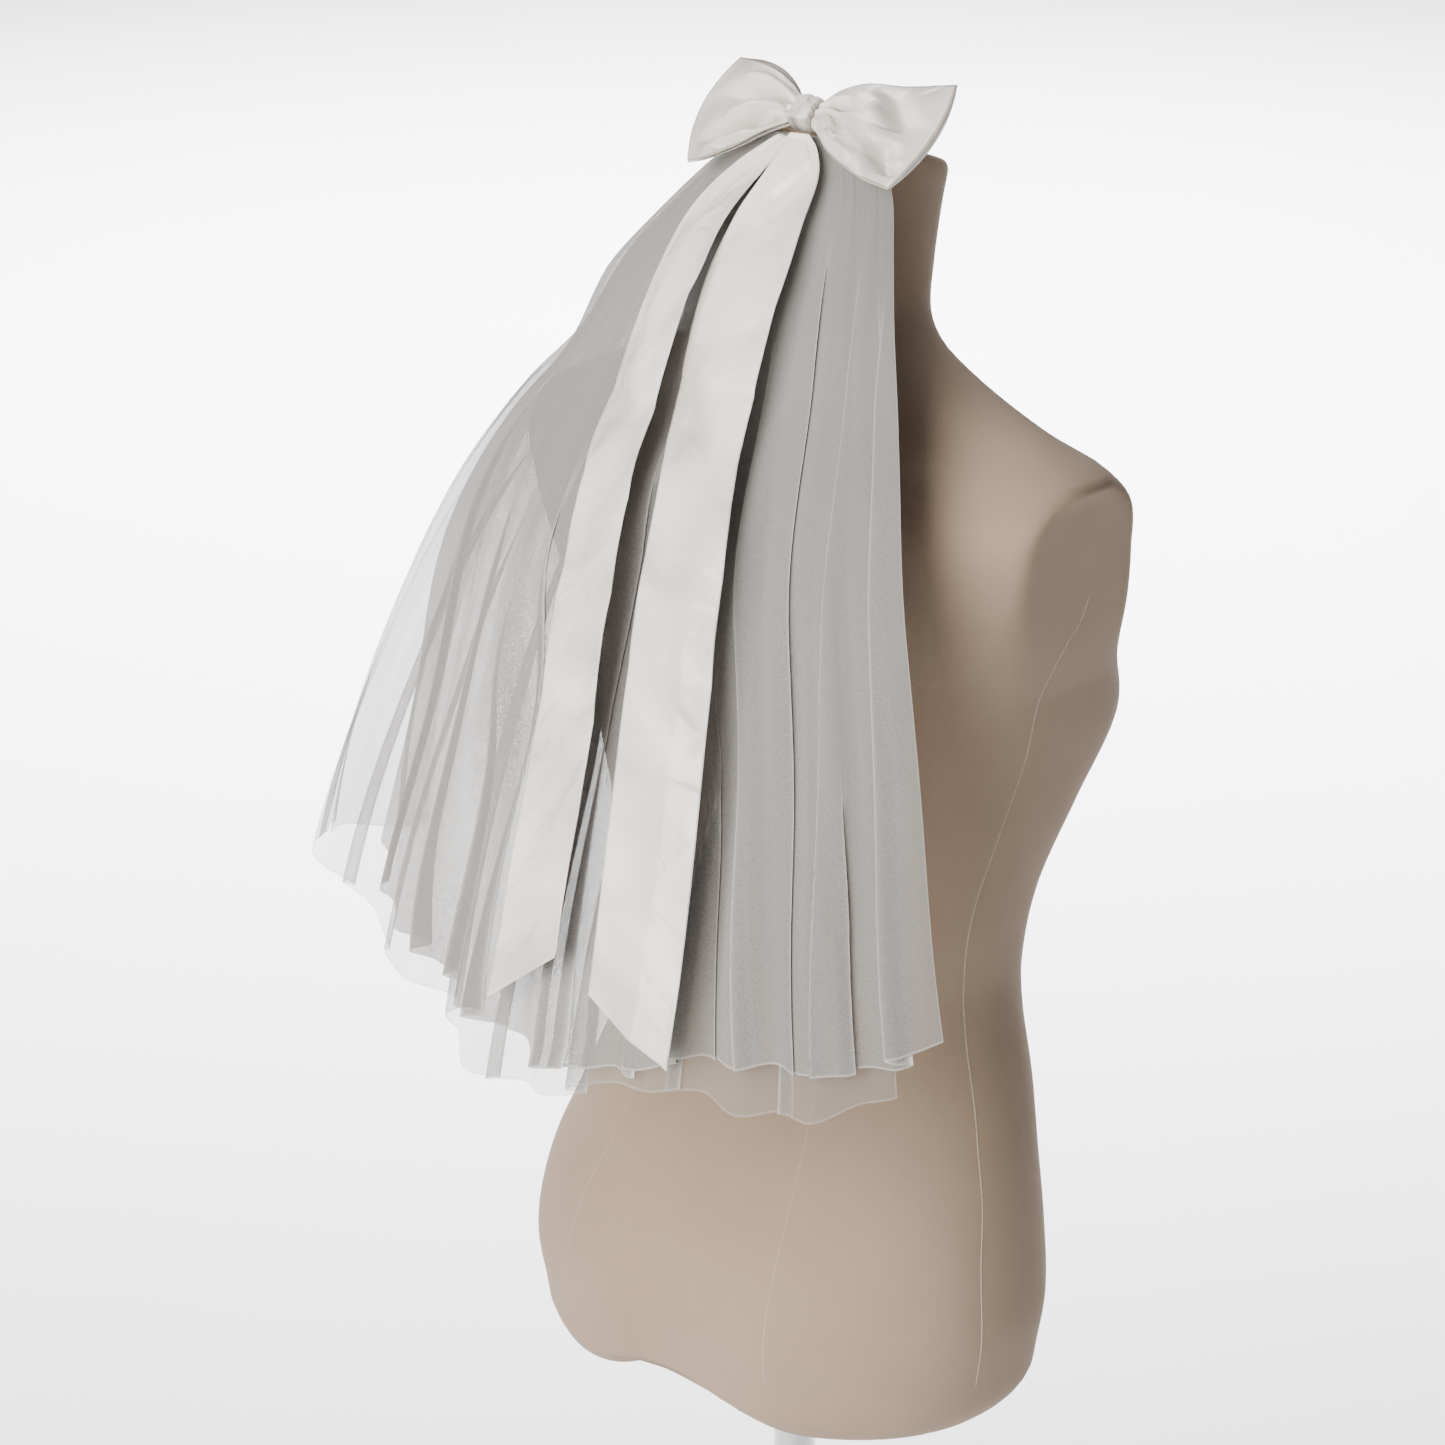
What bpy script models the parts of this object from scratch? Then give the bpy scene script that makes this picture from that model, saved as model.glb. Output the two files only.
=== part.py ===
"""Two-tier bridal veil with a satin bow and two ribbon tails, set on a limbless dress form on a pole stand.

Metres, +Z up. The form faces +Y, so the bow and the veil are on its -Y side and +X is its right.
The origin is the centre of the stand's underside, on the floor.
Tables are in centimetres. Heights in them are counted from DATUM, just below the dress form.
"""

import math

import bpy
import bmesh
from mathutils import Vector

CM = 0.01

# Stand
DATUM = 0.475
BASE_RADIUS = 0.165
BASE_RIM_HEIGHT = 0.008
BASE_DOME_HEIGHT = 0.022
BASE_SIDES = 40
POLE_RADIUS = 0.0125
POLE_SIDES = 24
SEAT_GAP = 0.0003

# Dress form
FORM_SIDES = 40
STUB_LOW = 3.6
CROTCH_RISE = 4.4
CROTCH_WIDTH = 4.2
SEAT_DISC_RADIUS = 2.0
NECK_TOP_TILT = math.radians(18.0)
NECK_TILT_FROM = 70.0
NECK_TOP = 77.8
NECK_RIM = 0.90
NECK_SHOULDER = 0.98
NECK_ROUND = 0.25
PLATE_TOP = 61.6
PLATE_LOW = 47.0
PLATE_TOP_HALF = 19.1
PLATE_LOW_HALF = 15.9

# Height, half width, front, back, squareness of each section of the dress form
FORM_SECTIONS = [
    (8.0, 16.3, 10.4, -11.8, 2.2),
    (11.5, 16.8, 10.8, -12.2, 2.2),
    (16.0, 16.2, 10.9, -11.2, 2.2),
    (20.0, 15.3, 11.0, -9.0, 2.1),
    (24.0, 14.2, 11.1, -7.0, 2.1),
    (28.0, 13.1, 11.0, -5.8, 2.1),
    (31.0, 12.8, 11.1, -5.5, 2.1),
    (36.0, 13.8, 10.9, -5.9, 2.3),
    (41.0, 14.9, 13.4, -6.4, 2.5),
    (45.5, 15.7, 15.8, -6.6, 2.8),
    (49.5, 16.4, 14.6, -6.8, 2.9),
    (53.5, 18.2, 13.0, -7.0, 2.8),
    (57.0, 19.8, 11.4, -6.9, 2.6),
    (60.0, 20.6, 9.8, -6.1, 2.6),
    (62.0, 19.3, 8.3, -4.8, 2.4),
    (63.3, 16.6, 7.2, -3.7, 2.1),
    (64.6, 13.4, 6.9, -3.1, 2.0),
    (65.9, 10.0, 7.1, -2.6, 2.0),
    (67.1, 7.3, 7.5, -2.3, 2.0),
    (68.6, 5.8, 7.9, -2.0, 2.0),
    (71.0, 5.3, 8.6, -1.7, 2.0),
    (75.0, 5.2, 9.4, -1.0, 2.0),
    (77.8, 5.2, 10.1, -0.3, 2.0),
]
# Heights of the rings that the dress form's skin runs through
FORM_RINGS = [8.0, 9.5, 11.5, 14.0, 17.0, 20.0, 23.0, 26.0, 29.0, 32.5, 36.0, 39.0, 42.0, 44.5, 47.0]
FORM_RINGS += [49.5, 52.0, 54.5, 57.0, 59.0, 60.6, 61.8, 62.8, 63.8, 64.8, 65.8, 67.0, 68.6, 71.0, 73.5]
FORM_RINGS += [75.6, 77.0]
# Scales of the rings of the underside, from the pole's seat outwards
UNDERSIDE_RINGS = [0.30, 0.45, 0.60, 0.74, 0.86, 0.94, 0.985]
BUST = {"height": 44.8, "rise": 4.4, "side": 8.6, "width": 4.6, "depth": 2.0}
SEAT = {"height": 11.5, "rise": 6.0, "side": 7.2, "width": 4.6, "depth": 1.0}

# Veil
TULLE_WALL = 0.0010
HEADING = 79.15
HEADING_DEPTH = 5.6
HEADING_TILT = math.tan(NECK_TOP_TILT)
HEADING_FADE = 70.0
HEM_LEVEL = 32.0
# Height, left half width, right half width, back, left centre, right centre, middle of the hanging surface
VEIL_SECTIONS = [
    (79.15, 5.53, 5.53, -0.70, 4.82, 4.82, 0.0),
    (77.0, 8.9, 7.3, -2.2, 4.2, 3.8, 0.6),
    (74.0, 12.2, 8.8, -3.9, 3.6, 2.2, 1.0),
    (70.5, 14.9, 11.2, -6.0, 3.2, 0.6, 0.9),
    (66.0, 17.2, 14.4, -8.6, 3.0, -1.0, 0.7),
    (62.0, 21.0, 17.2, -11.4, 2.6, -2.6, 0.6),
    (56.0, 24.3, 20.0, -15.2, 0.5, -4.0, 0.4),
    (48.0, 27.0, 23.0, -18.9, -2.0, -4.9, 0.2),
    (40.0, 29.0, 25.6, -22.4, -3.6, -5.6, 0.0),
    (32.0, 30.2, 28.0, -25.2, -4.6, -6.0, 0.0),
    (24.0, 31.0, 29.6, -27.2, -5.0, -6.2, 0.0),
]
# Height, left edge, right edge of the under tier, in degrees round from the middle of the back
UNDER_EDGES = [
    (79.15, -66.0, 50.0),
    (70.0, -74.0, 49.5),
    (62.0, -90.0, 48.0),
    (54.0, -96.0, 49.5),
    (46.0, -99.0, 50.5),
    (30.0, -102.0, 52.0),
]
# Hem angle, hem height, reach in and out of each big flute of the under tier
UNDER_FLUTES = [
    (-102.0, 31.0, 0.4),
    (-82.0, 33.0, 0.7),
    (-46.0, 36.2, 0.6),
    (-15.0, 34.2, 1.0),
    (-3.0, 30.8, 0.8),
    (8.0, 30.9, 0.8),
    (21.0, 32.4, 0.8),
    (32.0, 31.8, 0.7),
    (41.0, 31.8, 0.6),
    (52.0, 33.2, 0.4),
]
UNDER_COLUMNS = 88
UNDER_ROWS = 13
# Height, left edge, right edge of the top tier, in degrees
TOP_EDGES = [
    (79.15, -60.0, 52.0),
    (70.0, -58.0, 51.0),
    (62.0, -48.0, 51.0),
    (54.0, -38.0, 54.0),
    (46.0, -30.0, 56.0),
    (34.0, -24.0, 58.5),
]
# Share across, hem height, reach outwards of each finer flute of the top tier
TOP_FLUTES = [
    (0.00, 40.0, 0.5),
    (0.06, 38.6, 0.7),
    (0.12, 37.0, 0.7),
    (0.18, 35.4, 0.6),
    (0.24, 34.4, 0.6),
    (0.31, 33.6, 0.5),
    (0.38, 32.8, 0.5),
    (0.45, 32.8, 0.5),
    (0.52, 33.4, 0.4),
    (0.60, 34.4, 0.5),
    (0.68, 34.6, 0.4),
    (0.76, 34.5, 0.4),
    (0.84, 34.5, 0.5),
    (0.92, 35.2, 0.4),
    (1.00, 36.4, 0.4),
]
TOP_COLUMNS = 90
TOP_ROWS = 11
TIER_GAP_TOP = 0.20
TIER_GAP_HEM = 0.80
ROW_POWER = 1.35
GAP_POWER = 0.38
BAND_WALL = 0.0020
BAND_TOP = 77.45
BAND_HEIGHT = 1.5
BAND_SPREAD = 60.0
BAND_COLUMNS = 20

# Bow
BOW_CENTRE = (1.0, -0.74, 80.37)
BOW_LEAN = math.radians(46.0)
SATIN_WALL = 0.0012
KNOT_WIDTH = 1.45
KNOT_HEIGHT = 2.0
KNOT_DEPTH = 1.6
# Share of the way out, reach, half thickness, sweep back of a bow loop
LOOP_SECTIONS = [
    (0.00, 0.83, 0.36, 0.00),
    (0.15, 1.75, 0.62, 0.15),
    (0.40, 3.30, 0.85, 0.15),
    (0.70, 5.40, 0.70, -0.40),
    (1.00, 7.35, 0.18, -1.30),
]
# Side, wider reach and lift of the back layer. Edges: share of the way out, upper edge, lower edge.
LOOP_LEFT = {
    "side": -1.0,
    "wider": 0.03,
    "lift": 0.45,
    "edges": [
        (0.00, 0.90, -0.88),
        (0.15, 1.50, -1.70),
        (0.40, 2.20, -3.20),
        (0.70, 2.95, -3.95),
        (1.00, 3.65, -3.60),
    ],
}
LOOP_RIGHT = {
    "side": 1.0,
    "wider": -0.03,
    "lift": 0.15,
    "edges": [
        (0.00, 0.90, -0.88),
        (0.15, 1.62, -1.40),
        (0.40, 2.25, -2.50),
        (0.70, 2.85, -3.20),
        (1.00, 4.10, -3.10),
    ],
}
LOOP_BULGE = 0.85
LOOP_SLANT = 0.30
LOOP_CLOSING = 0.70
LOOP_STEPS = 11
LOOP_ACROSS = 6

# Tails
TAIL_CLEARANCE = 0.25
TAIL_ACROSS = 5
TAIL_ROWS = 26
TAIL_PUFF_FROM = 75.0
TAIL_TURN_RATE = 6.0
# Rows: height, angle, width. The cut is half the rise from the left corner to the right one.
# The puff is how far the ribbon swells off the veil where it leaves the knot.
TAIL_LEFT = {
    "rows": [
        (79.15, 0.0, 1.1),
        (77.5, -12.0, 2.6),
        (75.0, -19.0, 4.0),
        (72.0, -16.5, 5.2),
        (65.0, -10.0, 5.6),
        (58.0, -3.5, 5.6),
        (47.0, 3.0, 5.6),
        (34.0, 6.2, 5.6),
    ],
    "top": 79.15,
    "puff": 0.0,
    "end": 37.5,
    "cut": 1.8,
    "turn": 19.0,
}
TAIL_RIGHT = {
    "rows": [
        (79.42, 10.2, 1.2),
        (78.6, 10.6, 2.3),
        (77.5, 9.0, 3.4),
        (75.0, 3.2, 4.9),
        (72.0, 2.8, 5.9),
        (66.0, 7.0, 5.8),
        (57.0, 13.8, 5.9),
        (44.0, 18.6, 5.9),
        (32.0, 19.8, 5.6),
    ],
    "top": 79.42,
    "puff": 0.30,
    "end": 35.9,
    "cut": -1.3,
    "turn": 10.0,
}


def make_material(name, colour, roughness, metallic=0.0, alpha=1.0):
    """A Principled material with one plain finish."""
    material = bpy.data.materials.new(name)
    material.use_nodes = True
    shader = material.node_tree.nodes["Principled BSDF"]
    shader.inputs["Base Color"].default_value = (*colour, 1.0)
    shader.inputs["Roughness"].default_value = roughness
    shader.inputs["Metallic"].default_value = metallic
    shader.inputs["Alpha"].default_value = alpha
    return material


def smooth_row(rows, at, column):
    """The value of one column at a height or share, on a smooth curve through the table's rows."""
    rows = sorted(rows)
    if at <= rows[0][0]:
        return rows[0][column]
    if at >= rows[-1][0]:
        return rows[-1][column]
    low = max(i for i in range(len(rows) - 1) if rows[i][0] <= at)
    before = rows[max(low - 1, 0)]
    start = rows[low]
    end = rows[low + 1]
    after = rows[min(low + 2, len(rows) - 1)]
    span = end[0] - start[0]
    t = (at - start[0]) / span
    slope_in = (end[column] - before[column]) / max(end[0] - before[0], 1e-9) * span
    slope_out = (after[column] - start[column]) / max(after[0] - start[0], 1e-9) * span
    rise = end[column] - start[column]
    return (
        start[column]
        + slope_in * t
        + (3.0 * rise - 2.0 * slope_in - slope_out) * t**2
        + (slope_in + slope_out - 2.0 * rise) * t**3
    )


def new_object(name, mesh_maker, material):
    """A named object from a bmesh, with its faces pointing out and shaded smooth."""
    mesh = bpy.data.meshes.new(name)
    bmesh.ops.recalc_face_normals(mesh_maker, faces=mesh_maker.faces)
    mesh_maker.to_mesh(mesh)
    mesh_maker.free()
    mesh.shade_smooth()
    mesh.set_sharp_from_angle(angle=math.radians(50.0))
    mesh.materials.append(material)
    piece = bpy.data.objects.new(name, mesh)
    bpy.context.scene.collection.objects.link(piece)
    return piece


def loft(rings, low_point=None, high_point=None):
    """A closed skin through rings of equal length, closed by a point or a flat face at each end."""
    shape = bmesh.new()
    loops = [[shape.verts.new(point) for point in ring] for ring in rings]
    count = len(rings[0])
    for lower, upper in zip(loops, loops[1:]):
        for i in range(count):
            j = (i + 1) % count
            shape.faces.new((lower[i], lower[j], upper[j], upper[i]))
    for loop, point in ((loops[0], low_point), (loops[-1], high_point)):
        if point is None:
            shape.faces.new(loop)
            continue
        tip = shape.verts.new(point)
        for i in range(count):
            shape.faces.new((loop[i], loop[(i + 1) % count], tip))
    return shape


def cloth_wall(name, columns, rows, place, thickness, material):
    """A sheet of cloth with an even wall. place gives its middle surface from shares across and down."""
    shape = bmesh.new()
    bmesh.ops.create_grid(shape, x_segments=columns, y_segments=rows, size=0.5)
    for vert in shape.verts:
        vert.co = place(vert.co.x + 0.5, 0.5 - vert.co.y)
    piece = new_object(name, shape, material)
    wall = piece.modifiers.new("wall", "SOLIDIFY")
    wall.thickness = thickness
    wall.offset = 0.0
    return piece


def bell(distance, width):
    """A soft rise of height 1 that fades over the given width."""
    return math.exp(-((distance / width) ** 2))


def neck_slope(height):
    """How steeply a section of the form is tilted down to the front. Only the neck's sections are."""
    share = min(max((height - NECK_TILT_FROM) / (NECK_TOP - NECK_TILT_FROM), 0.0), 1.0)
    return math.tan(NECK_TOP_TILT) * share


def form_ring(height, scale=1.0):
    """One section of the dress form, from its table and its soft forms, in metres."""
    half = smooth_row(FORM_SECTIONS, height, 1)
    front = smooth_row(FORM_SECTIONS, height, 2)
    back = smooth_row(FORM_SECTIONS, height, 3)
    power = 2.0 / smooth_row(FORM_SECTIONS, height, 4)
    middle = (front + back) / 2.0
    plate = half
    if PLATE_LOW <= height <= PLATE_TOP:
        share = (height - PLATE_LOW) / (PLATE_TOP - PLATE_LOW)
        plate = PLATE_LOW_HALF + (PLATE_TOP_HALF - PLATE_LOW_HALF) * share
    ring = []
    for i in range(FORM_SIDES):
        turn = math.tau * i / FORM_SIDES
        c = math.cos(turn)
        s = math.sin(turn)
        x = half * math.copysign(abs(c) ** power, c)
        y = middle + (front - middle) * math.copysign(abs(s) ** power, s)
        x = max(min(x, plate), -plate)
        soft = BUST if s > 0.0 else SEAT
        lift = bell(height - soft["height"], soft["rise"])
        y += soft["depth"] * lift * bell(abs(x) - soft["side"], soft["width"]) * s
        x *= scale
        y = middle + (y - middle) * scale
        z = height - neck_slope(height) * (y - middle)
        ring.append((x * CM, y * CM, DATUM + z * CM))
    return ring


def underside_ring(scale):
    """A ring of the underside: two rounded stubs with a rise between them."""
    edge = FORM_SECTIONS[0][0]
    fade = min(max((1.0 - scale) / (1.0 - UNDERSIDE_RINGS[0]), 0.0), 1.0)
    ring = []
    for x, y, _ in form_ring(edge):
        x *= scale
        y *= scale
        drop = (edge - STUB_LOW) * math.sqrt(1.0 - scale**5)
        rise = CROTCH_RISE * bell(x / CM, CROTCH_WIDTH) * min(8.0 * fade, 1.0)
        z = min(edge - drop + rise, edge - 0.2 * (1.0 - scale))
        ring.append((x, y, DATUM + z * CM))
    return ring


def pole_seat():
    """The height of the flat disc under the form where the pole meets it, in metres."""
    return DATUM + (FORM_SECTIONS[0][0] - 0.2) * CM


def build_dress_form(material):
    """The padded torso, closed at the neck by a slanted flat top and below by two short stubs."""
    seat = []
    for i in range(FORM_SIDES):
        turn = math.tau * i / FORM_SIDES
        radius = SEAT_DISC_RADIUS * CM
        seat.append((radius * math.cos(turn), radius * math.sin(turn), pole_seat()))
    rings = [seat]
    for scale in UNDERSIDE_RINGS:
        rings.append(underside_ring(scale))
    for height in FORM_RINGS:
        rings.append(form_ring(height))
    rings.append(form_ring(NECK_TOP - NECK_ROUND, NECK_SHOULDER))
    rings.append(form_ring(NECK_TOP, NECK_RIM))
    return new_object("dress_form", loft(rings), material)


def build_stand(steel):
    """A round base with a low dome, and the pole that carries the form."""
    profile = [
        (BASE_RADIUS - 0.002, 0.0),
        (BASE_RADIUS, 0.002),
        (BASE_RADIUS, BASE_RIM_HEIGHT - 0.002),
        (BASE_RADIUS - 0.003, BASE_RIM_HEIGHT),
        (BASE_RADIUS * 0.6, BASE_RIM_HEIGHT + (BASE_DOME_HEIGHT - BASE_RIM_HEIGHT) * 0.55),
        (BASE_RADIUS * 0.25, BASE_DOME_HEIGHT - 0.001),
        (POLE_RADIUS * 2.0, BASE_DOME_HEIGHT),
    ]
    rings = []
    for radius, height in profile:
        ring = []
        for i in range(BASE_SIDES):
            turn = math.tau * i / BASE_SIDES
            ring.append((radius * math.cos(turn), radius * math.sin(turn), height))
        rings.append(ring)
    new_object("stand_base", loft(rings), steel)

    low = BASE_DOME_HEIGHT + SEAT_GAP
    high = pole_seat() - SEAT_GAP
    pole = bmesh.new()
    bmesh.ops.create_cone(
        pole,
        cap_ends=True,
        segments=POLE_SIDES,
        radius1=POLE_RADIUS,
        radius2=POLE_RADIUS,
        depth=high - low,
    )
    bmesh.ops.translate(pole, verts=pole.verts, vec=(0.0, 0.0, (high + low) / 2.0))
    new_object("stand_pole", pole, steel)


def veil_surface(angle, height, out):
    """A point of the surface that the tiers hang round, moved outwards by some centimetres, in metres."""
    left = angle < 0.0
    fade = min(max((height - HEADING_FADE) / (heading_height(angle) - HEADING_FADE), 0.0), 1.0)
    level = height + (HEADING - heading_height(angle)) * fade
    half = smooth_row(VEIL_SECTIONS, level, 1 if left else 2)
    centre = smooth_row(VEIL_SECTIONS, level, 4 if left else 5)
    depth = centre - smooth_row(VEIL_SECTIONS, level, 3)
    turn = math.radians(angle)
    normal = Vector((depth * math.sin(turn), -half * math.cos(turn))).normalized() * out
    x = smooth_row(VEIL_SECTIONS, level, 6) + half * math.sin(turn) + normal.x
    y = centre - depth * math.cos(turn) + normal.y
    return Vector((x * CM, y * CM, DATUM + height * CM))


def heading_height(angle):
    """The height of the gathered heading, which slopes down round the neck as the neck's top does."""
    return HEADING - HEADING_TILT * HEADING_DEPTH * (1.0 - math.cos(math.radians(angle)))


def edge_angle(edges, height, share):
    """The angle at a share of the way across a tier, from its left edge to its right edge."""
    left = smooth_row(edges, height, 1)
    right = smooth_row(edges, height, 2)
    return left + (right - left) * share


def edge_share(edges, height, angle):
    """The share across a tier at an angle."""
    left = smooth_row(edges, height, 1)
    right = smooth_row(edges, height, 2)
    return (angle - left) / (right - left)


def flute_wave(flutes, at):
    """The wave of a row of flutes, 1 on each fold and -1 between folds, and its reach."""
    at = min(max(at, flutes[0][0]), flutes[-1][0])
    low = max(i for i in range(len(flutes) - 1) if flutes[i][0] <= at)
    start = flutes[low]
    end = flutes[low + 1]
    t = (at - start[0]) / (end[0] - start[0])
    reach = start[2] + (end[2] - start[2]) * t
    return math.cos(math.tau * t), reach


def drop_share(height):
    """How far down the veil a height is, from 0 at the heading to 1 at the hem."""
    return min(max((HEADING - height) / (HEADING - HEM_LEVEL), 0.0), 1.0)


def under_out(angle, height):
    """How far the under tier stands off the surface it hangs round, in centimetres."""
    share = edge_share(UNDER_EDGES, height, angle)
    hem_angle = edge_angle(UNDER_EDGES, HEM_LEVEL, share)
    wave, reach = flute_wave(UNDER_FLUTES, hem_angle)
    return reach * wave * (0.01 + 0.99 * drop_share(height) ** 1.15)


def top_out(angle, height):
    """How far the top tier stands off that surface: outside the under tier, with finer flutes."""
    down = drop_share(height)
    wave, reach = flute_wave(TOP_FLUTES, edge_share(TOP_EDGES, height, angle))
    gap = TIER_GAP_TOP + (TIER_GAP_HEM - TIER_GAP_TOP) * down**GAP_POWER
    return under_out(angle, height) + gap + reach * 0.5 * (1.0 + wave) * (0.06 + 0.94 * down)


def under_point(across, down):
    """A point of the under tier."""
    hem = smooth_row(UNDER_FLUTES, edge_angle(UNDER_EDGES, HEM_LEVEL, across), 1)
    head = heading_height(edge_angle(UNDER_EDGES, HEADING, across))
    height = head + (hem - head) * down**ROW_POWER
    angle = edge_angle(UNDER_EDGES, height, across)
    return veil_surface(angle, height, under_out(angle, height))


def top_point(across, down):
    """A point of the top tier."""
    hem = smooth_row(TOP_FLUTES, across, 1)
    head = heading_height(edge_angle(TOP_EDGES, HEADING, across))
    height = head + (hem - head) * down**ROW_POWER
    angle = edge_angle(TOP_EDGES, height, across)
    return veil_surface(angle, height, top_out(angle, height))


def build_tiers(tulle):
    """The two gathered tiers of tulle, the longer one against the form and the shorter one over it."""
    cloth_wall("veil_under_tier", UNDER_COLUMNS, UNDER_ROWS, under_point, TULLE_WALL, tulle)
    cloth_wall("veil_top_tier", TOP_COLUMNS, TOP_ROWS, top_point, TULLE_WALL, tulle)


def build_heading_band(satin):
    """The narrow band that holds the gathers, bent round the back of the neck."""

    def place(across, down):
        turn = math.radians(BAND_SPREAD * (2.0 * across - 1.0))
        height = BAND_TOP - BAND_HEIGHT * down
        out = (SEAT_GAP + BAND_WALL / 2.0) / CM
        front = smooth_row(FORM_SECTIONS, height, 2)
        back = smooth_row(FORM_SECTIONS, height, 3)
        x = (smooth_row(FORM_SECTIONS, height, 1) + out) * math.sin(turn)
        step = ((front - back) / 2.0 + out) * math.cos(turn)
        z = height + neck_slope(height) * step
        return Vector((x * CM, ((front + back) / 2.0 - step) * CM, DATUM + z * CM))

    cloth_wall("heading_band", BAND_COLUMNS, 3, place, BAND_WALL, satin)


def bow_point(out, away, up):
    """A point given from the bow's centre, in the bow's own leaning frame, in metres."""
    y = BOW_CENTRE[1] + up * math.sin(BOW_LEAN) - away * math.cos(BOW_LEAN)
    z = BOW_CENTRE[2] + up * math.cos(BOW_LEAN) + away * math.sin(BOW_LEAN)
    return Vector(((BOW_CENTRE[0] + out) * CM, y * CM, DATUM + z * CM))


def build_bow_loop(name, loop, satin):
    """One loop of the bow: a ribbon that runs out, folds at its outer edge and runs back."""

    def place(across, down):
        along = 2.0 * across
        front = along <= 1.0
        out = along if front else 2.0 - along
        up = 1.0 - 2.0 * down
        reach = smooth_row(LOOP_SECTIONS, out, 1) * (1.0 + loop["wider"] * out)
        reach += (LOOP_BULGE * (1.0 - up * up) + LOOP_SLANT * up) * out**3
        thick = smooth_row(LOOP_SECTIONS, out, 2) * (1.0 - LOOP_CLOSING * up * up)
        away = smooth_row(LOOP_SECTIONS, out, 3) + (thick if front else -thick)
        upper = smooth_row(loop["edges"], out, 1)
        height = upper + (smooth_row(loop["edges"], out, 2) - upper) * down
        if not front:
            height += loop["lift"] * math.sin(math.pi * out)
        return bow_point(loop["side"] * reach, away, height)

    cloth_wall(name, 2 * LOOP_STEPS, LOOP_ACROSS, place, SATIN_WALL, satin)


def build_knot(satin):
    """The wrapped knot in the middle of the bow."""
    shape = bmesh.new()
    bmesh.ops.create_cube(shape, size=2.0)
    bmesh.ops.subdivide_edges(shape, edges=shape.edges, cuts=4, use_grid_fill=True)
    for vert in shape.verts:
        x, y, z = vert.co
        puff = 1.0 - 0.20 * x * x - 0.18 * z * z
        vert.co = bow_point(x * KNOT_WIDTH / 2.0, y * puff * KNOT_DEPTH / 2.0, z * KNOT_HEIGHT / 2.0)
    new_object("bow_knot", shape, satin)


def build_tail(name, tail, satin):
    """One ribbon tail, which hangs from the knot over the top tier and ends in a slanted cut."""

    def place(across, down):
        side = 2.0 * across - 1.0
        end = tail["end"] + tail["cut"] * side
        height = tail["top"] + (end - tail["top"]) * down
        rise = min(max((height - TAIL_PUFF_FROM) / (tail["top"] - TAIL_PUFF_FROM), 0.0), 1.0)
        angle = smooth_row(tail["rows"], height, 1)
        reach = smooth_row(tail["rows"], height, 2) * CM / 2.0
        centre = veil_surface(angle, height, 0.0)
        step = veil_surface(angle + 1.0, height, 0.0) - centre
        along = step.normalized()
        outward = Vector((along.y, -along.x, 0.0))
        spread = reach / step.length
        clear = max(top_out(angle + spread * i / 4.0, height) for i in range(-4, 5))
        turn = math.radians(tail["turn"]) * min(TAIL_TURN_RATE * drop_share(height), 1.0)
        sideways = along * math.cos(turn) + outward * math.sin(turn)
        stand = (clear + TAIL_CLEARANCE + tail["puff"] * rise) * CM + abs(math.sin(turn)) * reach
        return centre + outward * stand + sideways * (side * reach)

    cloth_wall(name, TAIL_ACROSS, TAIL_ROWS, place, SATIN_WALL, satin)


def main():
    """Clear the scene and build every piece."""
    for item in list(bpy.data.objects):
        bpy.data.objects.remove(item)
    cover = make_material("form_cover", (0.50, 0.40, 0.31), 0.85)
    steel = make_material("stand_steel", (0.62, 0.62, 0.63), 0.28, metallic=1.0)
    tulle = make_material("tulle", (0.86, 0.86, 0.88), 0.7, alpha=0.3)
    satin = make_material("satin", (0.86, 0.83, 0.77), 0.35)
    build_stand(steel)
    build_dress_form(cover)
    build_heading_band(satin)
    build_tiers(tulle)
    build_knot(satin)
    build_bow_loop("bow_loop_left", LOOP_LEFT, satin)
    build_bow_loop("bow_loop_right", LOOP_RIGHT, satin)
    build_tail("tail_left", TAIL_LEFT, satin)
    build_tail("tail_right", TAIL_RIGHT, satin)


main()
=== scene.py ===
import math

import bmesh
import bpy
import numpy as np
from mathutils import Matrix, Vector


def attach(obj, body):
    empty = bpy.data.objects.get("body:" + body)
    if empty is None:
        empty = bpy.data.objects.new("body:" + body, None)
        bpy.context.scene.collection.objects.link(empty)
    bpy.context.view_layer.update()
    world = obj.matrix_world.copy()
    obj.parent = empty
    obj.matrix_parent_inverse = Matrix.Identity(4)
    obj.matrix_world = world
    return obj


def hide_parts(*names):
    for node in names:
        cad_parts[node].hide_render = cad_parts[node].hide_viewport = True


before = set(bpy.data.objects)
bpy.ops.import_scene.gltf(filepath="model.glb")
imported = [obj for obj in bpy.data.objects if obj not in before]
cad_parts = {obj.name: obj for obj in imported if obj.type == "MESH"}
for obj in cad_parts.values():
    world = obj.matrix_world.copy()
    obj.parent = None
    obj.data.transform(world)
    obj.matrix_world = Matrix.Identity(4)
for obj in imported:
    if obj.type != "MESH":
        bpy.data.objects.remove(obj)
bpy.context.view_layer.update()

# The part's own sizes, in centimetres as in its tables; heights are counted from DATUM
CM = 0.01
DATUM = 47.5
STAND_BASE_RADIUS = 16.5
STAND_BASE_RIM = 0.8
STAND_BASE_DOME = 2.2
POLE_RADIUS = 1.25

FORM_LOW = 8.0
STUB_LOW = 3.6
CROTCH_RISE = 4.4
CROTCH_WIDTH = 4.2
NECK_SLANT = math.tan(math.radians(18.0))
NECK_SLANT_FROM = 70.0
NECK_TOP = 77.8
PLATE_TOP = 61.6
PLATE_LOW = 47.0
PLATE_TOP_HALF = 19.1
PLATE_LOW_HALF = 15.9
PLATE_SOFTNESS = 0.6
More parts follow.
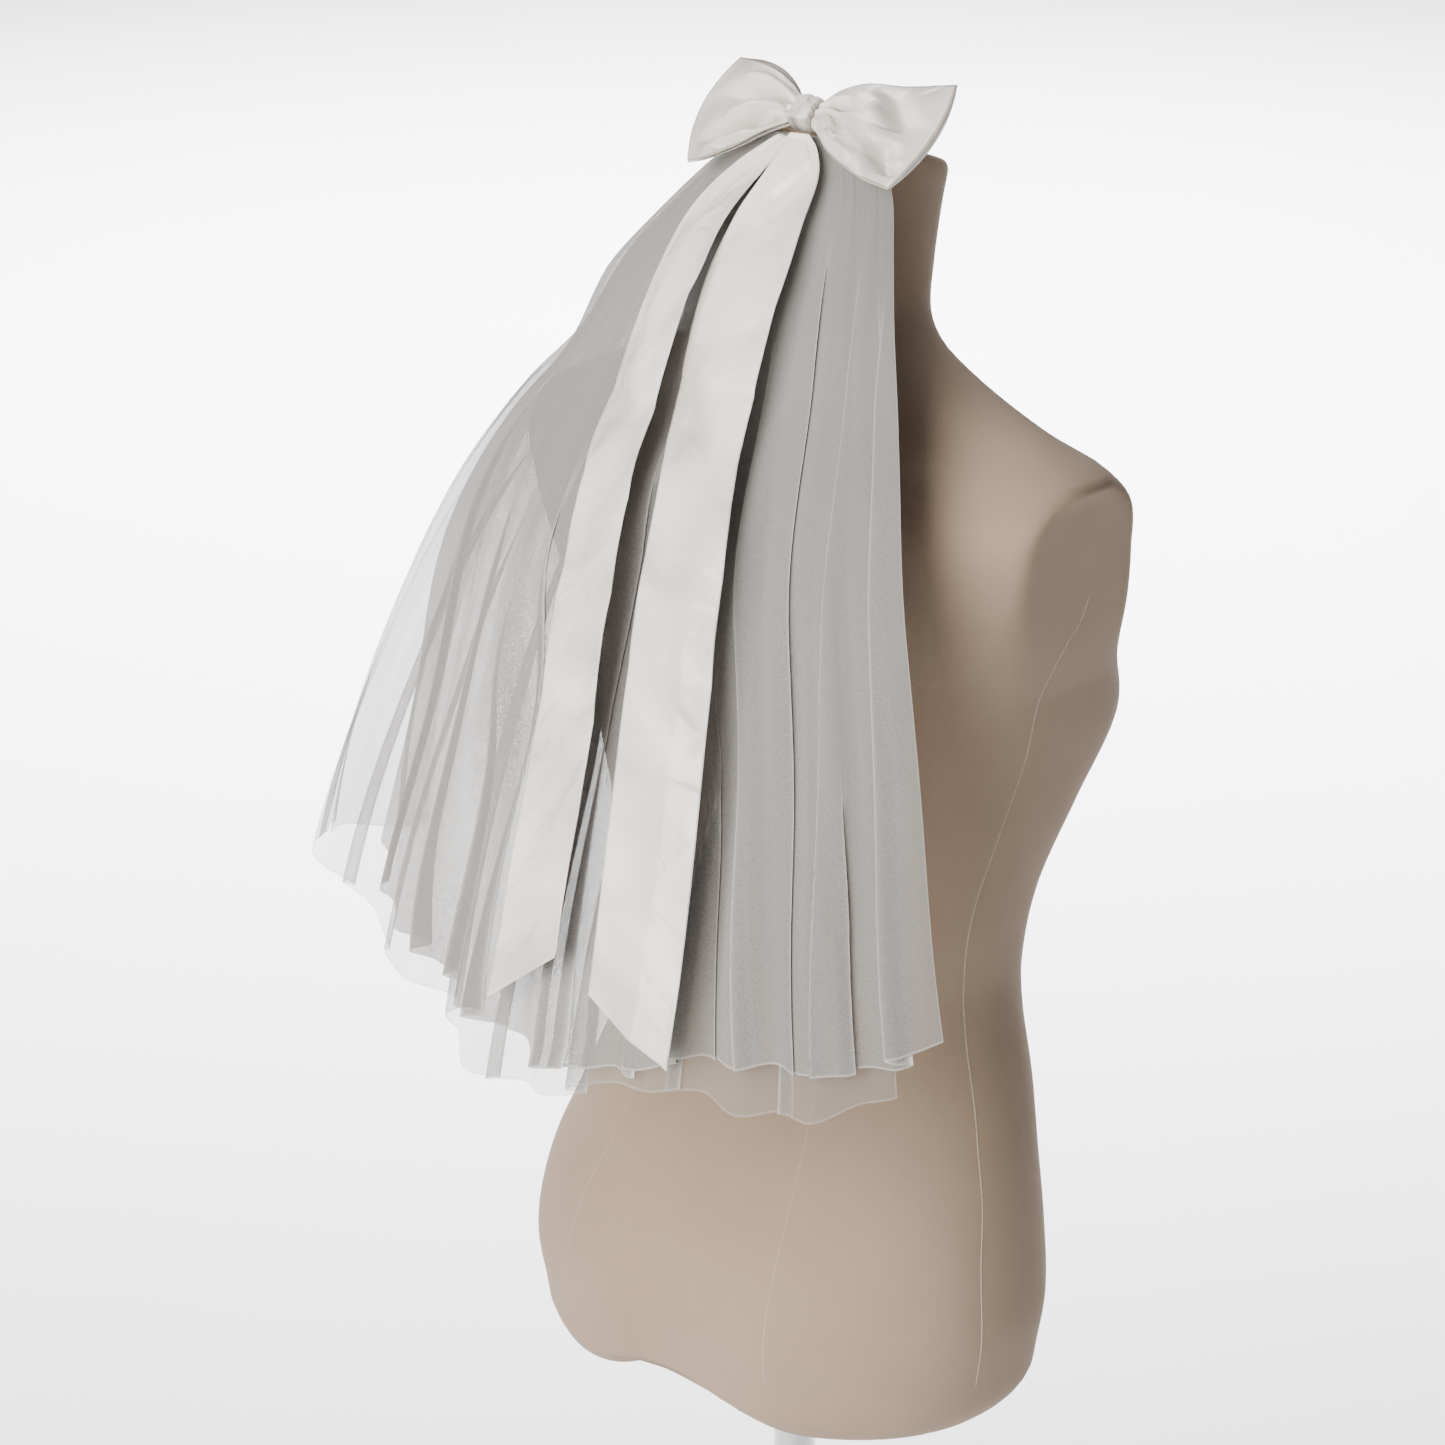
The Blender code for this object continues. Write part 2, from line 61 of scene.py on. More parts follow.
# Height, half width, front, back, squareness of the dress form
FORM_SECTIONS = [
    (8.0, 16.3, 10.4, -11.8, 2.2),
    (11.5, 16.8, 10.8, -12.2, 2.2),
    (16.0, 16.2, 10.9, -11.2, 2.2),
    (20.0, 15.3, 11.0, -9.0, 2.1),
    (24.0, 14.2, 11.1, -7.0, 2.1),
    (28.0, 13.1, 11.0, -5.8, 2.1),
    (31.0, 12.8, 11.1, -5.5, 2.1),
    (36.0, 13.8, 10.9, -5.9, 2.3),
    (41.0, 14.9, 13.4, -6.4, 2.5),
    (45.5, 15.7, 15.8, -6.6, 2.8),
    (49.5, 16.4, 14.6, -6.8, 2.9),
    (53.5, 18.2, 13.0, -7.0, 2.8),
    (57.0, 19.8, 11.4, -6.9, 2.6),
    (60.0, 20.6, 9.8, -6.1, 2.6),
    (62.0, 19.3, 8.3, -4.8, 2.4),
    (63.3, 16.6, 7.2, -3.7, 2.1),
    (64.6, 13.4, 6.9, -3.1, 2.0),
    (65.9, 10.0, 7.1, -2.6, 2.0),
    (67.1, 7.3, 7.5, -2.3, 2.0),
    (68.6, 5.8, 7.9, -2.0, 2.0),
    (71.0, 5.3, 8.6, -1.7, 2.0),
    (75.0, 5.2, 9.4, -1.0, 2.0),
    (77.8, 5.2, 10.1, -0.3, 2.0),
]
BUST = {"height": 44.8, "rise": 4.4, "side": 8.6, "width": 4.6, "depth": 2.0}
SEAT = {"height": 11.5, "rise": 6.0, "side": 7.2, "width": 4.6, "depth": 1.0}

HEADING = 79.15
HEADING_DEPTH = 5.6
HEADING_FADE = 70.0
HEM_LEVEL = 32.0
# Height, left half width, right half width, back, left centre, right centre, middle of the hanging surface
VEIL_SECTIONS = [
    (79.15, 5.53, 5.53, -0.70, 4.82, 4.82, 0.0),
    (77.0, 8.9, 7.3, -2.2, 4.2, 3.8, 0.6),
    (74.0, 12.2, 8.8, -3.9, 3.6, 2.2, 1.0),
    (70.5, 14.9, 11.2, -6.0, 3.2, 0.6, 0.9),
    (66.0, 17.2, 14.4, -8.6, 3.0, -1.0, 0.7),
    (62.0, 21.0, 17.2, -11.4, 2.6, -2.6, 0.6),
    (56.0, 24.3, 20.0, -15.2, 0.5, -4.0, 0.4),
    (48.0, 27.0, 23.0, -18.9, -2.0, -4.9, 0.2),
    (40.0, 29.0, 25.6, -22.4, -3.6, -5.6, 0.0),
    (32.0, 30.2, 28.0, -25.2, -4.6, -6.0, 0.0),
    (24.0, 31.0, 29.6, -27.2, -5.0, -6.2, 0.0),
]
# Height, left edge, right edge in degrees round from the middle of the back
UNDER_EDGES = [
    (79.15, -66.0, 50.0),
    (70.0, -74.0, 49.5),
    (62.0, -90.0, 48.0),
    (54.0, -96.0, 49.5),
    (46.0, -99.0, 50.5),
    (30.0, -102.0, 52.0),
]
# Hem angle, hem height, reach in and out
UNDER_FLUTES = [
    (-102.0, 31.0, 0.4),
    (-82.0, 33.0, 0.7),
    (-46.0, 36.2, 0.6),
    (-15.0, 34.2, 1.0),
    (-3.0, 30.8, 0.8),
    (8.0, 30.9, 0.8),
    (21.0, 32.4, 0.8),
    (32.0, 31.8, 0.7),
    (41.0, 31.8, 0.6),
    (52.0, 33.2, 0.4),
]
TOP_EDGES = [
    (79.15, -60.0, 52.0),
    (70.0, -58.0, 51.0),
    (62.0, -48.0, 51.0),
    (54.0, -38.0, 54.0),
    (46.0, -30.0, 56.0),
    (34.0, -24.0, 58.5),
]
# Share across, hem height, reach outwards
TOP_FLUTES = [
    (0.00, 40.0, 0.5),
    (0.06, 38.6, 0.7),
    (0.12, 37.0, 0.7),
    (0.18, 35.4, 0.6),
    (0.24, 34.4, 0.6),
    (0.31, 33.6, 0.5),
    (0.38, 32.8, 0.5),
    (0.45, 32.8, 0.5),
    (0.52, 33.4, 0.4),
    (0.60, 34.4, 0.5),
    (0.68, 34.6, 0.4),
    (0.76, 34.5, 0.4),
    (0.84, 34.5, 0.5),
    (0.92, 35.2, 0.4),
    (1.00, 36.4, 0.4),
]
TIER_GAP_TOP = 0.20
TIER_GAP_HEM = 0.80
GAP_POWER = 0.38
ROW_POWER = 1.35

BAND_TOP = 77.45
BAND_HEIGHT = 1.5
BAND_SPREAD = 60.0
BAND_STAND_OFF = 0.13

BOW_CENTRE = (1.0, -0.74, 80.37)
BOW_LEAN = math.radians(46.0)
KNOT_WIDTH = 1.45
KNOT_HEIGHT = 2.0
KNOT_DEPTH = 1.6
# Share of the way out, reach, half thickness, sweep back
LOOP_SECTIONS = [
    (0.00, 0.83, 0.36, 0.00),
    (0.15, 1.75, 0.62, 0.15),
    (0.40, 3.30, 0.85, 0.15),
    (0.70, 5.40, 0.70, -0.40),
    (1.00, 7.35, 0.18, -1.30),
]
# Edges: share of the way out, upper edge, lower edge
LOOP_LEFT = {
    "side": -1.0,
    "wider": 0.03,
    "lift": 0.45,
    "edges": [
        (0.00, 0.90, -0.88),
        (0.15, 1.50, -1.70),
        (0.40, 2.20, -3.20),
        (0.70, 2.95, -3.95),
        (1.00, 3.65, -3.60),
    ],
}
LOOP_RIGHT = {
    "side": 1.0,
    "wider": -0.03,
    "lift": 0.15,
    "edges": [
        (0.00, 0.90, -0.88),
        (0.15, 1.62, -1.40),
        (0.40, 2.25, -2.50),
        (0.70, 2.85, -3.20),
        (1.00, 4.10, -3.10),
    ],
}
LOOP_BULGE = 0.85
LOOP_SLANT = 0.30
LOOP_CLOSING = 0.70

TAIL_CLEARANCE = 0.25
TAIL_PUFF_FROM = 75.0
TAIL_TURN_RATE = 6.0
# Height, angle, width
TAIL_LEFT = {
    "rows": [
        (79.15, 0.0, 1.1),
        (77.5, -12.0, 2.6),
        (75.0, -19.0, 4.0),
        (72.0, -16.5, 5.2),
        (65.0, -10.0, 5.6),
        (58.0, -3.5, 5.6),
        (47.0, 3.0, 5.6),
        (34.0, 6.2, 5.6),
    ],
    "top": 79.15,
    "puff": 0.0,
    "fold": [(0.0, -0.5), (0.35, -0.3), (0.60, 0.3), (1.0, 0.4)],
    "fold_height": 0.08,
    "end": 37.5,
    "cut": 1.8,
    "turn": 19.0,
}
TAIL_RIGHT = {
    "rows": [
        (79.42, 10.2, 1.2),
        (78.6, 10.6, 2.3),
        (77.5, 9.0, 3.4),
        (75.0, 3.2, 4.9),
        (72.0, 2.8, 5.9),
        (66.0, 7.0, 5.8),
        (57.0, 13.8, 5.9),
        (44.0, 18.6, 5.9),
        (32.0, 19.8, 5.6),
    ],
    "top": 79.42,
    "puff": 0.30,
    "fold": [(0.0, 0.95), (0.33, 0.90), (0.52, 0.42), (0.76, 0.30), (1.0, 0.15)],
    "fold_height": 0.24,
    "end": 35.9,
    "cut": -1.3,
    "turn": 10.0,
}


# Shapes worked out from the tables

def curve(rows, at, column):
    """One column of a table at some heights or shares, on a smooth curve through the rows."""
    table = np.array(sorted(rows), dtype=float)
    x = table[:, 0]
    y = table[:, column]
    at = np.clip(np.asarray(at, dtype=float), x[0], x[-1])
    low = np.clip(np.searchsorted(x, at, side="right") - 1, 0, len(x) - 2)
    before = np.maximum(low - 1, 0)
    after = np.minimum(low + 2, len(x) - 1)
    span = x[low + 1] - x[low]
    t = (at - x[low]) / span
    slope_in = (y[low + 1] - y[before]) / np.maximum(x[low + 1] - x[before], 1e-9) * span
    slope_out = (y[after] - y[low]) / np.maximum(x[after] - x[low], 1e-9) * span
    rise = y[low + 1] - y[low]
    return (
        y[low]
        + slope_in * t
        + (3.0 * rise - 2.0 * slope_in - slope_out) * t**2
        + (slope_in + slope_out - 2.0 * rise) * t**3
    )


def bell(distance, width):
    """A soft rise of height 1 that fades over the given width."""
    return np.exp(-((distance / width) ** 2))


def fade_in(value, low, high):
    """0 below low, 1 above high, smooth between."""
    t = np.clip((value - low) / (high - low), 0.0, 1.0)
    return t * t * (3.0 - 2.0 * t)


def metres(x, y, height):
    """Points in metres from centimetres, with the height counted from DATUM."""
    return np.stack([x * CM, y * CM, (DATUM + height) * CM], axis=-1)


def heading_height(angle):
    return HEADING - NECK_SLANT * HEADING_DEPTH * (1.0 - np.cos(np.radians(angle)))


def veil_surface(angle, height, out):
    """Points of the surface that the tiers hang round, moved outwards by some centimetres."""
    left = angle < 0.0
    top = heading_height(angle)
    fade = np.clip((height - HEADING_FADE) / (top - HEADING_FADE), 0.0, 1.0)
    level = height + (HEADING - top) * fade
    half = np.where(left, curve(VEIL_SECTIONS, level, 1), curve(VEIL_SECTIONS, level, 2))
    centre = np.where(left, curve(VEIL_SECTIONS, level, 4), curve(VEIL_SECTIONS, level, 5))
    depth = centre - curve(VEIL_SECTIONS, level, 3)
    turn = np.radians(angle)
    nx = depth * np.sin(turn)
    ny = -half * np.cos(turn)
    size = np.hypot(nx, ny)
    x = curve(VEIL_SECTIONS, level, 6) + half * np.sin(turn) + nx / size * out
    y = centre - depth * np.cos(turn) + ny / size * out
    return metres(x, y, height)


def edge_angle(edges, height, share):
    left = curve(edges, height, 1)
    return left + (curve(edges, height, 2) - left) * share


def edge_share(edges, height, angle):
    left = curve(edges, height, 1)
    return (angle - left) / (curve(edges, height, 2) - left)


def flute_wave(flutes, at, lean=0.0):
    """The wave of a row of flutes, 1 on a fold and -1 between folds, and its reach."""
    table = np.array(flutes, dtype=float)
    x = table[:, 0]
    at = np.clip(at, x[0], x[-1])
    low = np.clip(np.searchsorted(x, at, side="right") - 1, 0, len(x) - 2)
    t = (at - x[low]) / (x[low + 1] - x[low])
    reach = table[low, 2] + (table[low + 1, 2] - table[low, 2]) * t
    t = t + lean * np.sin(math.tau * t) / math.tau
    return np.cos(math.tau * t), reach


def drop_share(height):
    return np.clip((HEADING - height) / (HEADING - HEM_LEVEL), 0.0, 1.0)


def gathers(across, down, seed, fine):
    """Fine gathers at the heading that die out a short way down, in centimetres."""
    rng = np.random.default_rng(seed)
    total = np.zeros_like(across)
    for waves, size, start, end in (
        (fine * 1.00, 0.045, -0.10, 0.20),
        (fine * 1.37, 0.030, -0.10, 0.14),
        (fine * 0.52, 0.035, 0.00, 0.30),
        (fine * 0.71, 0.022, 0.00, 0.24),
        (fine * 0.17, 0.050, 0.15, 1.40),
    ):
        middle = (start + end) / 2.0
        width = (end - start) / 2.0
        strength = np.clip(1.0 - ((down - middle) / width) ** 2, 0.0, 1.0)
        drift = rng.uniform(-0.6, 0.6)
        phase = rng.uniform(0.0, math.tau)
        uneven = 0.6 + 0.4 * np.sin(math.tau * rng.uniform(2.0, 5.0) * across + rng.uniform(0.0, math.tau))
        total += size * strength * uneven * np.sin(math.tau * waves * across + phase + drift * 3.0 * down)
    return total


# Share across at the pleat's start and at the hem, start down, width at the hem in centimetres, side laid over
UNDER_PLEATS = [
    (0.055, 0.050, 0.30, 0.8, 1.0),
    (0.180, 0.150, 0.36, 1.2, 1.0),
    (0.300, 0.270, 0.50, 0.9, -1.0),
    (0.405, 0.430, 0.45, 1.2, 1.0),
    (0.465, 0.530, 0.52, 0.9, 1.0),
    (0.560, 0.600, 0.40, 1.3, -1.0),
    (0.655, 0.660, 0.60, 0.7, 1.0),
    (0.730, 0.735, 0.45, 1.1, 1.0),
    (0.830, 0.815, 0.55, 0.8, -1.0),
    (0.915, 0.905, 0.35, 1.0, 1.0),
]
TOP_PLEATS = [
    (0.070, 0.060, 0.42, 0.7, 1.0),
    (0.150, 0.148, 0.50, 0.9, 1.0),
    (0.254, 0.190, 0.55, 0.7, 1.0),
    (0.310, 0.262, 0.45, 1.2, -1.0),
    (0.415, 0.380, 0.55, 0.8, 1.0),
    (0.480, 0.410, 0.40, 0.9, -1.0),
    (0.512, 0.445, 0.55, 0.6, 1.0),
    (0.560, 0.520, 0.35, 1.0, 1.0),
    (0.642, 0.578, 0.72, 0.6, 1.0),
    (0.640, 0.636, 0.62, 0.5, -1.0),
    (0.668, 0.695, 0.28, 0.9, 1.0),
    (0.780, 0.755, 0.16, 0.6, -1.0),
    (0.890, 0.796, 0.20, 0.5, 1.0),
    (0.862, 0.840, 0.72, 0.9, -1.0),
    (0.960, 0.925, 0.24, 1.2, 1.0),
]
PLEAT_FOLD = 2.2
PLEAT_STEP = 0.12
PLEAT_EDGE = 0.465
PLEAT_EDGE_WIDTH = 0.22


def pleated(across, down, pleats, top_width, hem_width):
    """How far sharp pleats carry the net sideways and outwards, in centimetres, and where their edges lie."""
    wide = top_width + (hem_width - top_width) * down
    aside = np.zeros_like(across)
    out = np.zeros_like(across)
    edge = np.zeros_like(across)
    for first, last, start, width, side in pleats:
        along = np.clip((down - start) / (1.0 - start), 0.0, 1.0)
        strength = fade_in(down, start, start + 0.16)
        size = width * (0.40 + 0.60 * along)
        place = (across - first - (last - first) * along) * wide / size
        aside -= PLEAT_FOLD * strength * size * place * np.exp(-place * place)
        out += side * PLEAT_STEP * strength * np.tanh(1.6 * place) * bell(place, 2.4)
        edge = np.maximum(edge, strength * bell(np.abs(place) - PLEAT_EDGE, PLEAT_EDGE_WIDTH))
    return aside, out, edge


def under_out(angle, height, lean=0.0):
    share = edge_share(UNDER_EDGES, height, angle)
    hem_angle = edge_angle(UNDER_EDGES, HEM_LEVEL, share)
    wave, reach = flute_wave(UNDER_FLUTES, hem_angle, lean)
    return reach * wave * (0.01 + 0.99 * drop_share(height) ** 1.15)


def top_out(angle, height, lean=0.0):
    down = drop_share(height)
    wave, reach = flute_wave(TOP_FLUTES, edge_share(TOP_EDGES, height, angle), lean)
    gap = TIER_GAP_TOP + (TIER_GAP_HEM - TIER_GAP_TOP) * down**GAP_POWER
    return under_out(angle, height) + gap + reach * 0.5 * (1.0 + wave) * (0.06 + 0.94 * down)


def degrees_aside(angle, height, aside):
    """The turn that moves a point of the hanging surface sideways by some centimetres."""
    level = np.zeros_like(angle)
    step = veil_surface(angle + 1.0, height, level) - veil_surface(angle, height, level)
    return aside * CM / np.linalg.norm(step, axis=-1)


def hanging_normal(angle, height):
    """The outward direction of the smooth surface that the tiers hang round."""
    level = np.zeros_like(angle)
    here = veil_surface(angle, height, level)
    across = veil_surface(angle + 1.0, height, level) - here
    upwards = veil_surface(angle, height + 0.5, level) - here
    normal = np.cross(across, upwards)
    return normal / np.linalg.norm(normal, axis=1)[:, None]


def under_points(across, down):
    hem = curve(UNDER_FLUTES, edge_angle(UNDER_EDGES, HEM_LEVEL, across), 1)
    head = heading_height(edge_angle(UNDER_EDGES, HEADING, across))
    height = head + (hem - head) * down**ROW_POWER
    angle = edge_angle(UNDER_EDGES, height, across)
    aside, out, edge = pleated(across, down, UNDER_PLEATS, 11.5, 83.5)
    angle = angle + degrees_aside(angle, height, aside)
    out = out + under_out(angle, height) + gathers(across, down, 5, 44.0)
    return veil_surface(angle, height, out), edge, hanging_normal(angle, height)


def top_points(across, down):
    hem = curve(TOP_FLUTES, across, 1)
    head = heading_height(edge_angle(TOP_EDGES, HEADING, across))
    height = head + (hem - head) * down**ROW_POWER
    angle = edge_angle(TOP_EDGES, height, across)
    aside, out, edge = pleated(across, down, TOP_PLEATS, 11.8, 59.0)
    angle = angle + degrees_aside(angle, height, aside)
    out = out + top_out(angle, height, 0.30) + gathers(across, down, 11, 47.0)
    return veil_surface(angle, height, out), edge, hanging_normal(angle, height)


# Mesh helpers

def finish_piece(name, mesh, material, replaces=()):
    """An object of a finished mesh that rides on the part."""
    mesh.materials.append(material)
    mesh.shade_smooth()
    piece = bpy.data.objects.new(name, mesh)
    bpy.context.scene.collection.objects.link(piece)
    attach(piece, "root")
    if replaces:
        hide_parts(*replaces)
    return piece


def cloth_mesh(name, columns, rows, place):
    """A grid of cloth laid out by place, with a UV map of its shares across and down."""
    shape = bmesh.new()
    bmesh.ops.create_grid(shape, x_segments=columns, y_segments=rows, size=0.5)
    across = np.array([vert.co.x + 0.5 for vert in shape.verts])
    down = np.array([0.5 - vert.co.y for vert in shape.verts])
    map_uv = shape.loops.layers.uv.new("cloth")
    for face in shape.faces:
        for loop in face.loops:
            loop[map_uv].uv = (loop.vert.co.x + 0.5, loop.vert.co.y + 0.5)
    points = place(across, down)
    for vert, point in zip(shape.verts, points):
        vert.co = point
    mesh = bpy.data.meshes.new(name)
    shape.to_mesh(mesh)
    shape.free()
    return mesh, across, down, points


def turn_outwards(mesh, centre):
    """Turn a sheet over where its faces look towards the centre."""
    shape = bmesh.new()
    shape.from_mesh(mesh)
    shape.normal_update()
    facing = sum(face.normal.dot(face.calc_center_median() - centre) for face in shape.faces)
    if facing < 0.0:
        bmesh.ops.reverse_faces(shape, faces=shape.faces)
    shape.to_mesh(mesh)
    shape.free()


def wall(piece, thickness, offset=0.0):
    made = piece.modifiers.new("wall", "SOLIDIFY")
    made.thickness = thickness
    made.offset = offset
    return made


# Materials

def new_material(name):
    material = bpy.data.materials.new(name)
    material.use_nodes = True
    tree = material.node_tree
    return material, tree, tree.nodes["Principled BSDF"]


def add(tree, kind, **values):
    node = tree.nodes.new(kind)
    for key, value in values.items():
        if key in node.inputs:
            node.inputs[key].default_value = value
        else:
            setattr(node, key, value)
    return node


def colour_ramp(tree, source, stops):
    ramp = tree.nodes.new("ShaderNodeValToRGB")
    ramp.color_ramp.elements[0].position = stops[0][0]
    ramp.color_ramp.elements[0].color = (*stops[0][1], 1.0)
    ramp.color_ramp.elements[1].position = stops[-1][0]
    ramp.color_ramp.elements[1].color = (*stops[-1][1], 1.0)
    for position, colour in stops[1:-1]:
        stop = ramp.color_ramp.elements.new(position)
        stop.color = (*colour, 1.0)
    tree.links.new(source, ramp.inputs["Fac"])
    return ramp.outputs["Color"]


def cover_material():
    """A matte beige jersey with a fine knit."""
    material, tree, shader = new_material("form_jersey")
    place = add(tree, "ShaderNodeTexCoord")
    broad = add(tree, "ShaderNodeTexNoise", Scale=9.0, Detail=3.0, Roughness=0.55)
    tree.links.new(place.outputs["Object"], broad.inputs["Vector"])
    tone = colour_ramp(tree, broad.outputs["Fac"], [(0.30, (0.262, 0.192, 0.136)), (0.70, (0.292, 0.217, 0.156))])
    tree.links.new(tone, shader.inputs["Base Color"])
    shader.inputs["Roughness"].default_value = 0.82
    shader.inputs["Specular IOR Level"].default_value = 0.15
    shader.inputs["Sheen Weight"].default_value = 0.06
    shader.inputs["Sheen Roughness"].default_value = 0.5
    stretch = add(tree, "ShaderNodeMapping", Scale=(1.0, 1.0, 0.6))
    tree.links.new(place.outputs["Object"], stretch.inputs["Vector"])
    knit = add(tree, "ShaderNodeTexNoise", Scale=900.0, Detail=2.0)
    tree.links.new(stretch.outputs["Vector"], knit.inputs["Vector"])
    bump = add(tree, "ShaderNodeBump", Strength=0.18, Distance=0.0006)
    tree.links.new(knit.outputs["Fac"], bump.inputs["Height"])
    tree.links.new(bump.outputs["Normal"], shader.inputs["Normal"])
    return material


def seam_material():
    """The lighter raised line where the cover's panels are sewn."""
    material, tree, shader = new_material("form_seam")
    place = add(tree, "ShaderNodeTexCoord")
    stitch = add(tree, "ShaderNodeTexNoise", Scale=700.0, Detail=2.0)
    tree.links.new(place.outputs["Object"], stitch.inputs["Vector"])
    tone = colour_ramp(tree, stitch.outputs["Fac"], [(0.35, (0.32, 0.250, 0.190)), (0.65, (0.40, 0.320, 0.250))])
    tree.links.new(tone, shader.inputs["Base Color"])
    shader.inputs["Roughness"].default_value = 0.75
    return material


def math_node(tree, operation, first, second):
    node = add(tree, "ShaderNodeMath", operation=operation)
    for socket, value in zip(node.inputs, (first, second)):
        if isinstance(value, float):
            socket.default_value = value
        else:
            tree.links.new(value, socket)
    return node.outputs["Value"]


# Width and tint of the painted shade line along a bow loop's long edges and outer fold
EDGE_SHADE_WIDTH = 0.018
FOLD_SHADE_WIDTH = 0.009
EDGE_SHADE_TINT = (0.52, 0.50, 0.47, 1.0)


def edge_and_fold_shade(tree, place, tone):
    """Darken a satin's colour in a narrow line along a bow loop's long edges and its outer fold, as painted shade
    where the ribbon turns away.
    """
    split = add(tree, "ShaderNodeSeparateXYZ")
    tree.links.new(place.outputs["UV"], split.inputs["Vector"])
    far = math_node(tree, "SUBTRACT", 1.0, split.outputs["Y"])
    long_edge = math_node(tree, "LESS_THAN", math_node(tree, "MINIMUM", split.outputs["Y"], far), EDGE_SHADE_WIDTH)
    aside = math_node(tree, "ABSOLUTE", math_node(tree, "SUBTRACT", split.outputs["X"], 0.5), 0.0)
    fold = math_node(tree, "LESS_THAN", aside, FOLD_SHADE_WIDTH)
    line = math_node(tree, "MAXIMUM", long_edge, fold)
    mixed = add(tree, "ShaderNodeMixRGB", blend_type="MULTIPLY", Color2=EDGE_SHADE_TINT)
    tree.links.new(line, mixed.inputs["Fac"])
    tree.links.new(tone, mixed.inputs["Color1"])
    return mixed.outputs["Color"]


def satin_material(name, length, width, fibre_scale, edge_shade=False):
    """Ivory satin: a soft gloss along the thread, fine ribs, soft uneven waves, and broad lighter and darker patches
    painted into its colour as sheen and shade.
    """
    material, tree, shader = new_material(name)
    place = add(tree, "ShaderNodeUVMap", uv_map="cloth")
    size = add(tree, "ShaderNodeMapping", Scale=(width, length, 1.0))
    tree.links.new(place.outputs["UV"], size.inputs["Vector"])
    # Broad lighter and darker patches in the colour are painted sheen and shade across the ribbon
    broad = add(tree, "ShaderNodeTexNoise", Scale=15.0, Detail=1.0, Distortion=0.4)
    tree.links.new(size.outputs["Vector"], broad.inputs["Vector"])
    tone = colour_ramp(tree, broad.outputs["Fac"], [(0.36, (0.60, 0.555, 0.510)), (0.60, (0.87, 0.830, 0.775))])
    # On the bow, a painted shade line along the loops' edges and outer fold
    if edge_shade:
        tone = edge_and_fold_shade(tree, place, tone)
    tree.links.new(tone, shader.inputs["Base Color"])
    shader.inputs["Roughness"].default_value = 0.28
    shader.inputs["Specular IOR Level"].default_value = 0.50
    shader.inputs["Sheen Weight"].default_value = 0.10
    shader.inputs["Sheen Roughness"].default_value = 0.35
    fibre = add(tree, "ShaderNodeMapping", Scale=fibre_scale)
    tree.links.new(size.outputs["Vector"], fibre.inputs["Vector"])
    thread = add(tree, "ShaderNodeTexNoise", Scale=1600.0, Detail=2.0)
    tree.links.new(fibre.outputs["Vector"], thread.inputs["Vector"])
    soft = add(tree, "ShaderNodeTexNoise", Scale=34.0, Detail=2.0, Roughness=0.45, Distortion=0.6)
    tree.links.new(size.outputs["Vector"], soft.inputs["Vector"])
    fine = add(tree, "ShaderNodeBump", Strength=0.10, Distance=0.0002)
    tree.links.new(thread.outputs["Fac"], fine.inputs["Height"])
    waves = add(tree, "ShaderNodeBump", Strength=0.75, Distance=0.0060)
    tree.links.new(soft.outputs["Fac"], waves.inputs["Height"])
    tree.links.new(fine.outputs["Normal"], waves.inputs["Normal"])
    tree.links.new(waves.outputs["Normal"], shader.inputs["Normal"])
    return material


